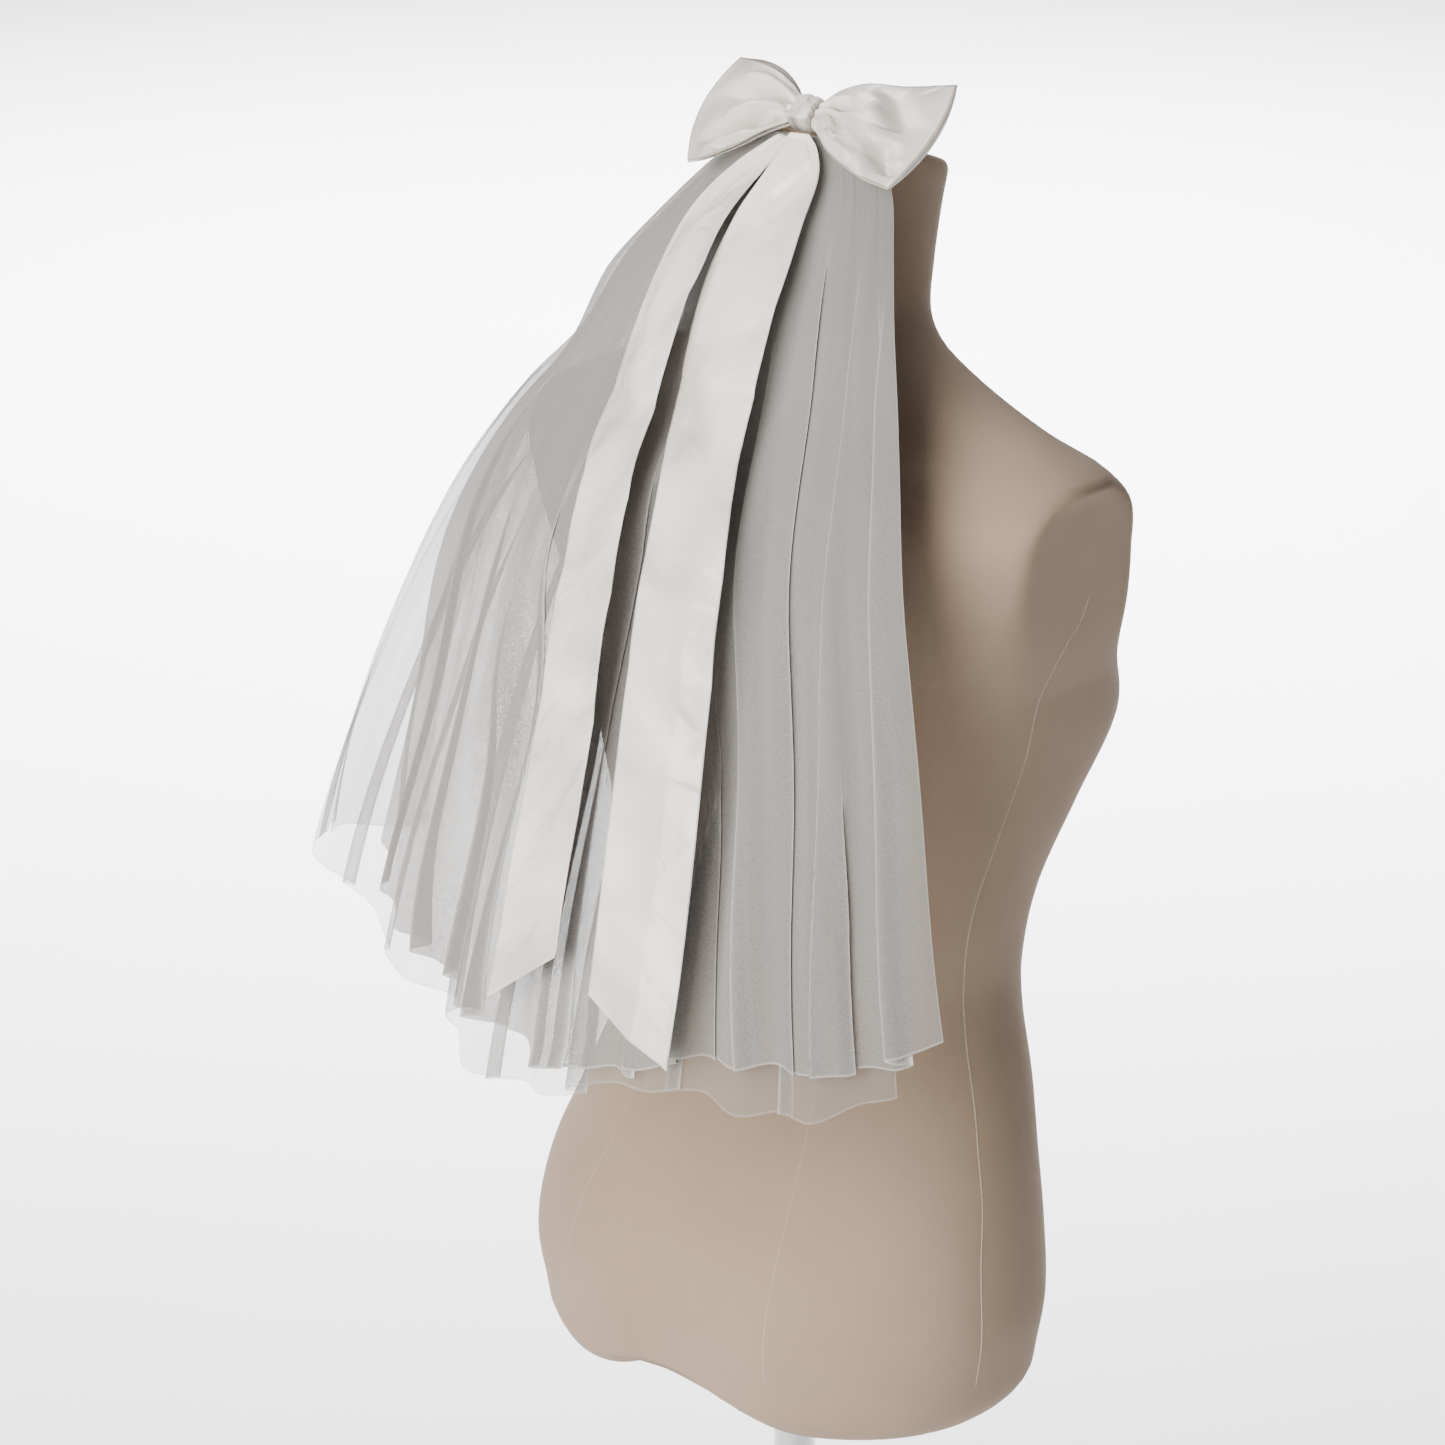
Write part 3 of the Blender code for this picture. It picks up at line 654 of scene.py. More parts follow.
def tulle_material():
    """Sheer tulle. How much it hides follows how closely the net is gathered; fold and cut edges are denser. Its white
    net is painted a shaded grey, lighter along folds and cut edges as a painted highlight.
    """
    material, tree, shader = new_material("tulle_net")
    shader.inputs["Roughness"].default_value = 0.72
    shader.inputs["Specular IOR Level"].default_value = 0.20
    shader.inputs["Sheen Weight"].default_value = 0.15
    shader.inputs["Sheen Roughness"].default_value = 0.40
    place = add(tree, "ShaderNodeUVMap", uv_map="cloth")
    split = add(tree, "ShaderNodeSeparateXYZ")
    tree.links.new(place.outputs["UV"], split.inputs["Vector"])

    right = math_node(tree, "SUBTRACT", 1.0, split.outputs["X"])
    nearest = math_node(tree, "MINIMUM", split.outputs["X"], right)
    nearest = math_node(tree, "MINIMUM", math_node(tree, "MULTIPLY", nearest, 1.4), split.outputs["Y"])
    border = math_node(tree, "MULTIPLY", math_node(tree, "LESS_THAN", nearest, TULLE_BORDER), 0.3)
    fold = add(tree, "ShaderNodeAttribute", attribute_name="fold")
    line = math_node(tree, "MAXIMUM", border, fold.outputs["Fac"])

    streaks = add(tree, "ShaderNodeMapping", Scale=(34.0, 0.9, 1.0))
    tree.links.new(place.outputs["UV"], streaks.inputs["Vector"])
    uneven = add(tree, "ShaderNodeTexNoise", Scale=1.0, Detail=2.0, Roughness=0.5)
    tree.links.new(streaks.outputs["Vector"], uneven.inputs["Vector"])
    cells = add(tree, "ShaderNodeMapping", Scale=(0.70, 0.47, 1.0))
    tree.links.new(place.outputs["UV"], cells.inputs["Vector"])
    net = add(tree, "ShaderNodeTexVoronoi", Scale=850.0, feature="DISTANCE_TO_EDGE")
    tree.links.new(cells.outputs["Vector"], net.inputs["Vector"])
    mesh_line = add(tree, "ShaderNodeMapRange")
    mesh_line.inputs["From Max"].default_value = 0.30
    mesh_line.inputs["To Min"].default_value = 1.18
    mesh_line.inputs["To Max"].default_value = 0.88
    tree.links.new(net.outputs["Distance"], mesh_line.inputs["Value"])
    bands = add(tree, "ShaderNodeMapRange")
    bands.inputs["From Min"].default_value = 0.30
    bands.inputs["From Max"].default_value = 0.70
    bands.inputs["To Min"].default_value = 0.88
    bands.inputs["To Max"].default_value = 1.10
    tree.links.new(uneven.outputs["Fac"], bands.inputs["Value"])
    cover = add(tree, "ShaderNodeAttribute", attribute_name="cover")
    amount = math_node(tree, "MULTIPLY", cover.outputs["Fac"], bands.outputs["Result"])
    amount = math_node(tree, "MULTIPLY", amount, mesh_line.outputs["Result"])
    extra = math_node(tree, "MULTIPLY", line, 0.32)
    alpha = add(tree, "ShaderNodeMath", operation="ADD", use_clamp=True)
    tree.links.new(amount, alpha.inputs[0])
    tree.links.new(extra, alpha.inputs[1])
    tree.links.new(alpha.outputs["Value"], shader.inputs["Alpha"])
    # Painted shade grey, lighter along folds and cut edges as a painted highlight
    tone = colour_ramp(tree, line, [(0.0, TULLE_SHADED_GREY), (1.0, TULLE_EDGE_HIGHLIGHT)])
    tree.links.new(tone, shader.inputs["Base Color"])
    return material


def steel_material():
    """Bright steel with a faint grain round it."""
    material, tree, shader = new_material("stand_bright_steel")
    shader.inputs["Base Color"].default_value = (0.60, 0.60, 0.61, 1.0)
    shader.inputs["Metallic"].default_value = 1.0
    place = add(tree, "ShaderNodeTexCoord")
    grain = add(tree, "ShaderNodeMapping", Scale=(1.0, 1.0, 25.0))
    tree.links.new(place.outputs["Object"], grain.inputs["Vector"])
    noise = add(tree, "ShaderNodeTexNoise", Scale=60.0, Detail=3.0)
    tree.links.new(grain.outputs["Vector"], noise.inputs["Vector"])
    rough = add(tree, "ShaderNodeMapRange")
    rough.inputs["To Min"].default_value = 0.18
    rough.inputs["To Max"].default_value = 0.32
    tree.links.new(noise.outputs["Fac"], rough.inputs["Value"])
    tree.links.new(rough.outputs["Result"], shader.inputs["Roughness"])
    return material


# Dress form and stand

def form_points(around, height, scale=1.0):
    """Points of the dress form's skin, for shares round it from its right side over the front."""
    half = curve(FORM_SECTIONS, height, 1)
    front = curve(FORM_SECTIONS, height, 2)
    back = curve(FORM_SECTIONS, height, 3)
    power = 2.0 / curve(FORM_SECTIONS, height, 4)
    middle = (front + back) / 2.0
    share = np.clip((height - PLATE_LOW) / (PLATE_TOP - PLATE_LOW), 0.0, 1.0)
    plate = PLATE_LOW_HALF + (PLATE_TOP_HALF - PLATE_LOW_HALF) * share
    plate = plate + 1.5 * (1.0 - fade_in(height, PLATE_LOW - 1.0, PLATE_LOW + 2.0))
    plate = plate + 1.5 * fade_in(height, PLATE_TOP - 0.6, PLATE_TOP + 1.2)
    c = np.cos(math.tau * around)
    s = np.sin(math.tau * around)
    x = half * np.sign(c) * np.abs(c) ** power
    y = middle + (front - middle) * np.sign(s) * np.abs(s) ** power
    flat = np.clip(0.5 + 0.5 * (plate - np.abs(x)) / PLATE_SOFTNESS, 0.0, 1.0)
    x = np.sign(x) * (plate + (np.abs(x) - plate) * flat - PLATE_SOFTNESS * flat * (1.0 - flat))
    for soft, side in ((BUST, s > 0.0), (SEAT, s <= 0.0)):
        lift = bell(height - soft["height"], soft["rise"]) * bell(np.abs(x) - soft["side"], soft["width"])
        y = y + np.where(side, soft["depth"] * lift * s, 0.0)
    x = x * scale
    y = middle + (y - middle) * scale
    slant = NECK_SLANT * np.clip((height - NECK_SLANT_FROM) / (NECK_TOP - NECK_SLANT_FROM), 0.0, 1.0)
    return x, y, height - slant * (y - middle)


def underside_points(around, scale):
    x, y, _ = form_points(around, np.full_like(around, FORM_LOW))
    x = x * scale
    y = y * scale
    fade = np.clip((1.0 - scale) / 0.70, 0.0, 1.0)
    drop = (FORM_LOW - STUB_LOW) * np.sqrt(np.maximum(1.0 - scale**5, 0.0))
    rise = CROTCH_RISE * bell(x, CROTCH_WIDTH) * np.minimum(8.0 * fade, 1.0)
    z = np.minimum(FORM_LOW - drop + rise, FORM_LOW - 0.2 * (1.0 - scale))
    return x, y, z


FORM_AROUND = 160
FORM_RINGS = 150


def build_form(cover):
    """The padded torso, as one smooth closed skin."""
    shape = bmesh.new()
    bmesh.ops.create_circle(shape, cap_ends=False, segments=FORM_AROUND, radius=0.02)
    around = np.arange(FORM_AROUND) / FORM_AROUND
    rings = []
    for scale in np.concatenate([np.linspace(0.13, 0.86, 16), [0.90, 0.93, 0.955, 0.975, 0.99]]):
        rings.append(underside_points(around, scale))
    for height in np.linspace(FORM_LOW, NECK_TOP - 0.75, FORM_RINGS):
        rings.append(form_points(around, np.full_like(around, height)))
    for turn in np.radians([15.0, 30.0, 45.0, 60.0, 75.0, 90.0]):
        height = NECK_TOP - 0.75 + 0.75 * math.sin(turn)
        rings.append(form_points(around, np.full_like(around, height), 1.0 - 0.10 * (1.0 - math.cos(turn))))
    for scale in (0.82, 0.72, 0.5, 0.25):
        rings.append(form_points(around, np.full_like(around, NECK_TOP), scale))
    edge = list(shape.edges)
    verts = list(shape.verts)
    placed = []
    for step, ring in enumerate(rings):
        if step:
            made = bmesh.ops.extrude_edge_only(shape, edges=edge)["geom"]
            fresh = [part for part in made if isinstance(part, bmesh.types.BMVert)]
            top = set(fresh)
            edge = [part for part in made if isinstance(part, bmesh.types.BMEdge)
                    and part.verts[0] in top and part.verts[1] in top]
            verts = fresh
        points = metres(*ring)
        for vert, point in zip(verts, points):
            vert.co = point
        placed.append(verts)
    shape.verts.ensure_lookup_table()
    bmesh.ops.contextual_create(shape, geom=placed[0])
    bmesh.ops.contextual_create(shape, geom=placed[-1])
    bmesh.ops.recalc_face_normals(shape, faces=shape.faces)
    mesh = bpy.data.meshes.new("form_body")
    shape.to_mesh(mesh)
    shape.free()
    piece = finish_piece("form_body", mesh, cover, ["dress_form"])
    return piece


# Height and share round the form of each point of its side seams, and the heights of its back seams
SIDE_SEAM = [
    (8.5, 0.972),
    (11.0, 0.972),
    (17.8, 0.970),
    (22.3, 0.961),
    (28.7, 0.954),
    (34.1, 0.951),
    (37.8, 0.954),
    (43.3, 0.965),
    (48.5, 0.979),
    (52.8, 1.000),
    (54.8, 1.009),
]
BACK_SEAM = [9.0, 20.0, 35.0, 50.0]


def form_line(name, material, rows, width, proud):
    """A sewn line on the form: a narrow raised strip that follows its skin."""
    shape = bmesh.new()
    steps = 260
    bmesh.ops.create_grid(shape, x_segments=4, y_segments=steps, size=0.5)
    down = np.array([0.5 - vert.co.y for vert in shape.verts])
    side = np.array([vert.co.x * 2.0 for vert in shape.verts])
    height = rows[-1][0] + (rows[0][0] - rows[-1][0]) * down
    share = curve(rows, height, 1)
    ahead = np.array(form_points(share + 0.002, height)).T
    here = np.array(form_points(share, height)).T
    along = ahead - here
    along /= np.linalg.norm(along, axis=1)[:, None]
    outward = np.stack([along[:, 1], -along[:, 0], np.zeros(len(along))], axis=1)
    place = here + along * (side * width / 2.0)[:, None] + outward * (proud * (1.0 - side**2) - 0.01)[:, None]
    for vert, point in zip(shape.verts, metres(place[:, 0], place[:, 1], place[:, 2])):
        vert.co = point
    mesh = bpy.data.meshes.new(name)
    shape.to_mesh(mesh)
    shape.free()
    turn_outwards(mesh, Vector((0.0, 0.0, 0.9)))
    return finish_piece(name, mesh, material)


def spun(name, profile, material, replaces):
    """A round piece from a profile of radius and height, in centimetres above the floor."""
    shape = bmesh.new()
    chain = [shape.verts.new((radius * CM, 0.0, height * CM)) for radius, height in profile]
    edges = [shape.edges.new(pair) for pair in zip(chain, chain[1:])]
    bmesh.ops.spin(
        shape, geom=chain + edges, cent=(0.0, 0.0, 0.0), axis=(0.0, 0.0, 1.0),
        angle=math.tau, steps=96, use_merge=True, use_duplicate=False,
    )
    bmesh.ops.remove_doubles(shape, verts=shape.verts, dist=0.00002)
    bmesh.ops.recalc_face_normals(shape, faces=shape.faces)
    mesh = bpy.data.meshes.new(name)
    shape.to_mesh(mesh)
    shape.free()
    piece = finish_piece(name, mesh, material, replaces)
    mesh.set_sharp_from_angle(angle=math.radians(40.0))
    return piece


def build_stand(steel):
    rim = STAND_BASE_RIM
    dome = STAND_BASE_DOME
    base = [
        (0.0, 0.0), (STAND_BASE_RADIUS - 0.25, 0.0), (STAND_BASE_RADIUS - 0.08, 0.06),
        (STAND_BASE_RADIUS, 0.22), (STAND_BASE_RADIUS, rim - 0.25), (STAND_BASE_RADIUS - 0.10, rim - 0.06),
        (STAND_BASE_RADIUS - 0.35, rim), (STAND_BASE_RADIUS * 0.85, rim + 0.22), (STAND_BASE_RADIUS * 0.6, rim + 0.74),
        (STAND_BASE_RADIUS * 0.4, rim + 1.10), (STAND_BASE_RADIUS * 0.25, dome - 0.12),
        (POLE_RADIUS * 2.0, dome), (POLE_RADIUS * 1.3, dome), (0.0, dome),
    ]
    spun("stand_plate", base, steel, ["stand_base"])
    low = dome + 0.03
    high = DATUM + FORM_LOW - 0.2 - 0.03
    pole = [(0.0, low), (POLE_RADIUS - 0.05, low), (POLE_RADIUS, low + 0.05)]
    pole += [(POLE_RADIUS, high - 0.05), (POLE_RADIUS - 0.05, high), (0.0, high)]
    spun("stand_tube", pole, steel, ["stand_pole"])


# Veil

UNDER_FINE = (820, 58)
TOP_FINE = (900, 56)
UNDER_COVER = 0.34
TOP_COVER = 0.74
TULLE_BORDER = 0.0020
# The white net's colour is painted shade, a dark grey; its fold and cut edges get a lighter painted highlight
TULLE_SHADED_GREY = (0.235, 0.222, 0.212)
TULLE_EDGE_HIGHLIGHT = (0.54, 0.52, 0.50)
TULLE_EVENNESS = 0.85


def even_normals(mesh, smooth):
    """Net scatters light much the same whichever way it leans, so its normals are drawn to the smooth surface's."""
    own = np.empty(len(mesh.vertices) * 3)
    mesh.vertex_normals.foreach_get("vector", own)
    own = own.reshape(-1, 3)
    sides = np.where(np.sum(own * smooth, axis=1) < 0.0, -1.0, 1.0)[:, None]
    mixed = own * (1.0 - TULLE_EVENNESS) + smooth * sides * TULLE_EVENNESS
    mixed /= np.linalg.norm(mixed, axis=1)[:, None]
    mesh.normals_split_custom_set_from_vertices(mixed.tolist())


def build_tier(name, fine, place, cover, cut, node, material):
    """One tier of net, with layers for how much it hides and where its folds are sharp."""
    columns, rows = fine
    layers = []

    def placed(across, down):
        points, edge, normal = place(across, down)
        layers.extend((edge, normal))
        return points

    mesh, across, down, points = cloth_mesh(name, columns, rows, placed)
    width, length, area = cut
    order = np.lexsort((np.round(across * columns), np.round(down * rows)))
    grid = points[order].reshape(rows + 1, columns + 1, 3)
    row_length = np.linalg.norm(np.diff(grid, axis=1), axis=2).sum(axis=1)
    crowd = np.repeat(width / row_length, columns + 1)
    values = np.empty(len(order))
    values[order] = 1.0 - (1.0 - cover) ** crowd
    for layer, numbers in (("cover", values), ("fold", layers[0])):
        made = mesh.attributes.new(layer, "FLOAT", "POINT")
        made.data.foreach_set("value", numbers.astype(np.float32))
    turn_outwards(mesh, Vector((0.0, 0.0, 0.95)))
    piece = finish_piece(name, mesh, material, [node])
    even_normals(mesh, layers[1])
    return piece


def build_band(material):
    """The narrow satin binding that holds the gathers round the back of the neck."""

    def place(across, down):
        turn = np.radians(BAND_SPREAD * (2.0 * across - 1.0))
        height = BAND_TOP - BAND_HEIGHT * down
        front = curve(FORM_SECTIONS, height, 2)
        back = curve(FORM_SECTIONS, height, 3)
        x = (curve(FORM_SECTIONS, height, 1) + BAND_STAND_OFF) * np.sin(turn)
        step = ((front - back) / 2.0 + BAND_STAND_OFF) * np.cos(turn)
        slant = NECK_SLANT * (height - NECK_SLANT_FROM) / (NECK_TOP - NECK_SLANT_FROM)
        return metres(x, (front + back) / 2.0 - step, height + slant * step)

    mesh, _, _, _ = cloth_mesh("heading_binding", 120, 12, place)
    turn_outwards(mesh, Vector((0.0, 0.045, 1.24)))
    piece = finish_piece("heading_binding", mesh, material, ["heading_band"])
    wall(piece, 0.0016)
    return piece


# Bow

def bow_points(out, away, up):
    """Points given from the bow's centre in its own leaning frame."""
    y = BOW_CENTRE[1] + up * math.sin(BOW_LEAN) - away * math.cos(BOW_LEAN)
    z = BOW_CENTRE[2] + up * math.cos(BOW_LEAN) + away * math.sin(BOW_LEAN)
    return metres(BOW_CENTRE[0] + out, y, z)


def crease(out, up, line, width, depth):
    """A soft trough along a line of (out, up) shares, deepest in its middle."""
    best = np.full_like(out, 1e9)
    where = np.zeros_like(out)
    total = len(line) - 1
    for i, ((ax, ay), (bx, by)) in enumerate(zip(line, line[1:])):
        length = (bx - ax) ** 2 + (by - ay) ** 2
        t = np.clip(((out - ax) * (bx - ax) + (up - ay) * (by - ay)) / length, 0.0, 1.0)
        away = np.hypot(out - ax - t * (bx - ax), up - ay - t * (by - ay))
        closer = away < best
        best = np.where(closer, away, best)
        where = np.where(closer, (i + t) / total, where)
    ends = np.clip(4.0 * where * (1.0 - where), 0.0, 1.0) ** 0.5
    return -depth * bell(best, width) * (0.15 + 0.85 * ends)


# Line of (share out, share up), width, depth of the creases of each loop's front layer; a minus depth is a ridge
RIGHT_CREASES = [
    ([(0.00, 0.50), (0.14, 0.12), (0.30, 0.06), (0.44, 0.22), (0.54, 0.52)], 0.070, 0.50),
    ([(0.10, 0.36), (0.28, 0.30), (0.42, 0.48)], 0.080, -0.22),
    ([(0.02, -0.05), (0.16, -0.22), (0.28, -0.20), (0.36, -0.36), (0.38, -0.56)], 0.055, 0.32),
    ([(0.60, 0.86), (0.68, 0.50), (0.76, 0.20), (0.78, -0.05)], 0.095, 0.55),
    ([(0.50, 0.72), (0.58, 0.35), (0.62, 0.00)], 0.110, -0.30),
    ([(0.74, -0.25), (0.78, -0.55), (0.92, -0.80)], 0.090, 0.40),
    ([(0.05, -0.62), (0.30, -0.74), (0.62, -0.74)], 0.100, -0.18),
]
LEFT_CREASES = [
    ([(0.02, 0.15), (0.22, 0.26), (0.48, 0.30), (0.66, 0.12)], 0.150, 0.62),
    ([(0.10, 0.62), (0.35, 0.66), (0.62, 0.60)], 0.120, -0.30),
    ([(0.05, -0.15), (0.30, -0.18), (0.55, -0.30)], 0.110, -0.35),
    ([(0.15, -0.48), (0.40, -0.52), (0.62, -0.50), (0.78, -0.66)], 0.100, 0.50),
    ([(0.02, -0.50), (0.14, -0.70), (0.28, -0.62)], 0.080, 0.34),
    ([(0.25, -0.88), (0.45, -0.80), (0.60, -0.86)], 0.080, 0.28),
]


CREASE_DEPTH = 1.65


def build_loop(name, loop, creases, material, node):
    """One ribbon loop: out from the knot, folded at its pointed outer edge, and back."""

    def place(across, down):
        along = 2.0 * across
        front = along <= 1.0
        out = np.where(front, along, 2.0 - along)
        up = 1.0 - 2.0 * down
        reach = curve(LOOP_SECTIONS, out, 1) * (1.0 + loop["wider"] * out)
        reach = reach + (LOOP_BULGE * (1.0 - up * up) + LOOP_SLANT * up) * out**3
        thick = curve(LOOP_SECTIONS, out, 2) * (1.0 - LOOP_CLOSING * up * up)
        near = fade_in(out, 0.0, 0.10) * (1.0 - fade_in(out, 0.92, 1.0))
        worn = sum(crease(out, up, line, width, depth) for line, width, depth in creases)
        worn = worn * near * np.where(front, CREASE_DEPTH, -0.35)
        pleats = 0.06 * np.cos(up * 11.0 + 0.6 * loop["side"]) * (1.0 - fade_in(out, 0.0, 0.30))
        away = curve(LOOP_SECTIONS, out, 3) + np.where(front, 1.0, -1.0) * (thick + pleats) + worn
        upper = curve(loop["edges"], out, 1)
        height = upper + (curve(loop["edges"], out, 2) - upper) * down
        height = height + np.where(front, 0.0, loop["lift"] * np.sin(math.pi * out))
        return bow_points(loop["side"] * reach, away, height)

    mesh, _, _, _ = cloth_mesh(name, 220, 72, place)
    piece = finish_piece(name, mesh, material, [node])
    wall(piece, 0.0006)
    return piece


def build_knot(material):
    """The ribbon wrapped round the bow's middle, pleated by the pull."""
    shape = bmesh.new()
    bmesh.ops.create_cube(shape, size=2.0)
    bmesh.ops.subdivide_edges(shape, edges=shape.edges, cuts=29, use_grid_fill=True)
    co = np.array([vert.co[:] for vert in shape.verts])
    x, y, z = co.T
    round_y = y * (1.0 - 0.16 * z * z) * (1.0 - 0.12 * np.abs(x) ** 3)
    round_z = z * (1.0 - 0.14 * y * y) * (1.0 - 0.05 * np.abs(x) ** 3)
    pleat = 0.040 * np.cos(5.5 * x + 0.9 * np.sin(2.4 * z + 0.5)) + 0.016 * np.cos(11.0 * x - 1.2 * z)
    grow = 1.0 + pleat * (1.0 - np.abs(x) ** 6) - 0.05
    waist = 1.0 - 0.05 * (1.0 - z * z)
    points = bow_points(x * waist * KNOT_WIDTH / 2.0, round_y * grow * KNOT_DEPTH / 2.0, round_z * grow * KNOT_HEIGHT / 2.0)
    for vert, point in zip(shape.verts, points):
        vert.co = point
    map_uv = shape.loops.layers.uv.new("cloth")
    place = {vert: (co[i][0] * 0.5 + 0.5, co[i][2] * 0.5 + 0.5) for i, vert in enumerate(shape.verts)}
    for face in shape.faces:
        for loop in face.loops:
            loop[map_uv].uv = place[loop.vert]
    bmesh.ops.recalc_face_normals(shape, faces=shape.faces)
    mesh = bpy.data.meshes.new("bow_wrap")
    shape.to_mesh(mesh)
    shape.free()
    piece = finish_piece("bow_wrap", mesh, material, ["bow_knot"])
    return piece


# Tails

TAIL_BEND_DEPTH = 2.0


def build_tail(name, tail, bends, material, node):
    """A ribbon tail, hung from the knot over the top tier, with a slanted cut end."""

    def place(across, down):
        side = 2.0 * across - 1.0
        end = tail["end"] + tail["cut"] * side
        height = tail["top"] + (end - tail["top"]) * down
        rise = np.clip((height - TAIL_PUFF_FROM) / (tail["top"] - TAIL_PUFF_FROM), 0.0, 1.0)
        angle = curve(tail["rows"], height, 1)
        reach = curve(tail["rows"], height, 2) * CM / 2.0
        centre = veil_surface(angle, height, np.zeros_like(angle))
        step = veil_surface(angle + 1.0, height, np.zeros_like(angle)) - centre
        length = np.linalg.norm(step, axis=1)
        along = step / length[:, None]
        outward = np.stack([along[:, 1], -along[:, 0], np.zeros(len(along))], axis=1)
        spread = reach / length
        clear = np.max([top_out(angle + spread * i / 8.0, height) for i in range(-8, 9)], axis=0)
        turn = math.radians(tail["turn"]) * np.minimum(TAIL_TURN_RATE * drop_share(height), 1.0)
        sideways = along * np.cos(turn)[:, None] + outward * np.sin(turn)[:, None]
        stand = (clear + TAIL_CLEARANCE + tail["puff"] * rise) * CM + np.abs(np.sin(turn)) * reach
        bent = sum(crease(down * 10.0, side, line, width, depth) for line, width, depth in bends)
        beyond = side - curve(tail["fold"], down, 1)
        tent = np.clip(np.where(beyond > 0.0, 1.0 - beyond / 0.7, 1.0 + beyond / 1.6), 0.0, 1.0)
        bent = bent + tail["fold_height"] * tent * fade_in(down, 0.22, 0.42)
        stand = stand + np.maximum(TAIL_BEND_DEPTH * bent + 0.22, 0.02) * CM
        return centre + outward * stand[:, None] + sideways * (side * reach)[:, None]

    mesh, _, _, _ = cloth_mesh(name, 40, 300, place)
    turn_outwards(mesh, Vector((0.0, 0.0, 1.0)))
    piece = finish_piece(name, mesh, material, [node])
    wall(piece, 0.0006)
    return piece


# Line of (tenths down, share across), width, depth; a minus depth is a ridge
LEFT_BENDS = [
    ([(0.5, 0.6), (1.4, -0.2), (2.4, -0.4)], 0.30, -0.10),
    ([(3.1, -0.9), (3.5, 0.1), (3.4, 0.9)], 0.20, 0.10),
    ([(4.9, -0.9), (5.6, 0.1), (6.3, 0.9)], 0.16, 0.14),
    ([(7.4, 0.9), (7.9, 0.2), (8.0, -0.5)], 0.18, 0.10),
]
RIGHT_BENDS = [
    ([(0.35, 0.6), (0.55, 0.2), (0.80, -0.3)], 0.09, 0.14),
    ([(1.9, 0.9), (2.3, 0.3)], 0.16, 0.08),
    ([(3.4, -0.7), (3.7, 0.0), (3.9, 0.5)], 0.26, 0.13),
    ([(5.7, -0.9), (5.8, -0.2), (6.0, 0.3)], 0.14, 0.12),
    ([(7.7, -0.9), (7.6, 0.1)], 0.22, 0.09),
]


# Room, light and camera

def build_room():
    material, tree, shader = new_material("pale_floor")
    place = add(tree, "ShaderNodeTexCoord")
    mottle = add(tree, "ShaderNodeTexNoise", Scale=2.0, Detail=3.0)
    tree.links.new(place.outputs["Object"], mottle.inputs["Vector"])
    tone = colour_ramp(tree, mottle.outputs["Fac"], [(0.3, (0.86, 0.86, 0.86)), (0.7, (0.88, 0.88, 0.88))])
    tree.links.new(tone, shader.inputs["Base Color"])
    shader.inputs["Roughness"].default_value = 0.9
    mesh = bpy.data.meshes.new("floor")
    shape = bmesh.new()
    bmesh.ops.create_grid(shape, x_segments=1, y_segments=1, size=12.0)
    shape.to_mesh(mesh)
    shape.free()
    mesh.materials.append(material)
    floor = bpy.data.objects.new("floor", mesh)
    bpy.context.scene.collection.objects.link(floor)
    floor.location.z = -0.0005
    world = bpy.data.worlds.new("studio")
    world.use_nodes = True
    world.node_tree.nodes["Background"].inputs["Color"].default_value = (1.0, 1.0, 1.0, 1.0)
    world.node_tree.nodes["Background"].inputs["Strength"].default_value = 0.20
    bpy.context.scene.world = world


def area_light(name, azimuth, height, distance, size, power, aim=(0.0, 0.0, 0.95)):
    light = bpy.data.lights.new(name, "AREA")
    light.shape = "DISK"
    light.size = size
    light.energy = power
    lamp = bpy.data.objects.new(name, light)
    turn = math.radians(azimuth)
    lamp.location = (math.sin(turn) * distance, -math.cos(turn) * distance, height)
    lamp.rotation_euler = (Vector(aim) - lamp.location).to_track_quat("-Z", "Y").to_euler()
    bpy.context.scene.collection.objects.link(lamp)
    return light


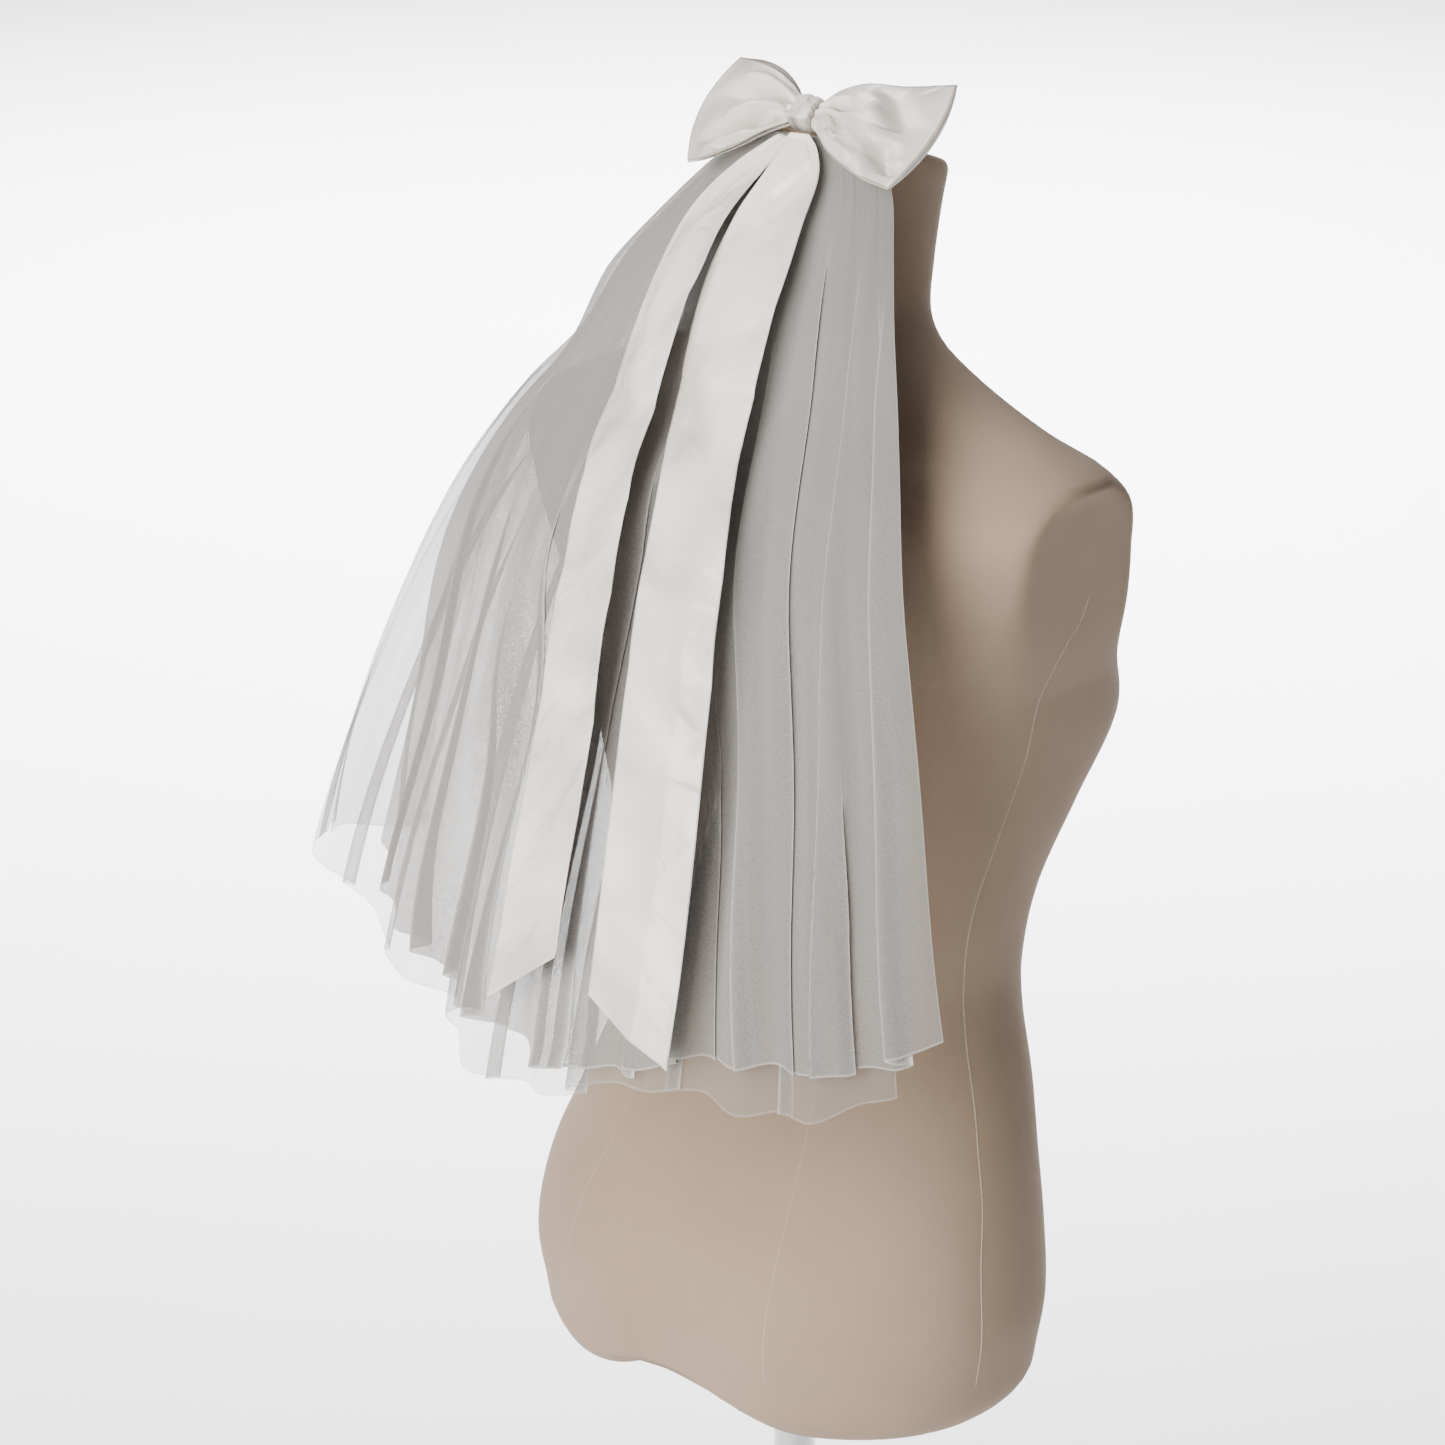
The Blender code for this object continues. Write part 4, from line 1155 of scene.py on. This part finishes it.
def build_camera():
    """The photograph's view: from the form's back right, a little above."""
    turn = math.radians(41.0)
    pitch = math.radians(19.0)
    target = Vector((-0.034, -0.028, 0.920))
    back = Vector((math.sin(turn) * math.cos(pitch), -math.cos(turn) * math.cos(pitch), math.sin(pitch)))
    lens = bpy.data.cameras.new("camera")
    lens.lens = 112.0
    lens.sensor_width = 36.0
    lens.clip_start = 0.05
    camera = bpy.data.objects.new("camera", lens)
    camera.location = target + back * 2.6
    camera.rotation_euler = (target - camera.location).to_track_quat("-Z", "Y").to_euler()
    bpy.context.scene.collection.objects.link(camera)
    bpy.context.scene.camera = camera


def main():
    build_camera()
    build_room()
    area_light("key", 3.0, 1.9, 2.8, 2.4, 225.0).color = (1.0, 0.965, 0.92)
    area_light("fill", 30.0, 0.9, 2.6, 2.4, 14.0)
    area_light("front_glow", 200.0, 2.2, 3.0, 2.0, 12.0)
    backdrop = area_light("backdrop_glow", 221.0, 4.0, 4.6, 6.0, 1150.0, (-3.0, 3.5, 0.0))
    backdrop.spread = math.radians(100.0)

    cover = cover_material()
    seam = seam_material()
    build_form(cover)
    form_line("side_seam_right", seam, SIDE_SEAM, width=0.12, proud=0.04)
    form_line("side_seam_left", seam, [(height, 1.5 - share) for height, share in SIDE_SEAM], width=0.12, proud=0.04)
    form_line("back_seam_right", seam, [(height, 0.82) for height in BACK_SEAM], width=0.07, proud=0.012)
    form_line("back_seam_left", seam, [(height, 0.68) for height in BACK_SEAM], width=0.07, proud=0.012)
    steel = steel_material()
    build_stand(steel)

    tulle = tulle_material()
    satin = satin_material("ivory_satin", 0.55, 0.056, (1.0, 0.08, 1.0))
    # The bow's satin has a painted shade line along its loops' edges and outer fold
    bow_satin = satin_material("ivory_satin_bow", 0.07, 0.15, (0.08, 1.0, 1.0), edge_shade=True)
    build_band(satin)
    build_tier("tulle_under", UNDER_FINE, under_points, UNDER_COVER, (1.05, 0.52, 0.37), "veil_under_tier", tulle)
    build_tier("tulle_top", TOP_FINE, top_points, TOP_COVER, (0.75, 0.47, 0.26), "veil_top_tier", tulle)
    build_knot(bow_satin)
    build_loop("bow_left", LOOP_LEFT, LEFT_CREASES, bow_satin, "bow_loop_left")
    build_loop("bow_right", LOOP_RIGHT, RIGHT_CREASES, bow_satin, "bow_loop_right")
    build_tail("ribbon_left", TAIL_LEFT, LEFT_BENDS, satin, "tail_left")
    build_tail("ribbon_right", TAIL_RIGHT, RIGHT_BENDS, satin, "tail_right")

    bpy.context.view_layer.update()


main()
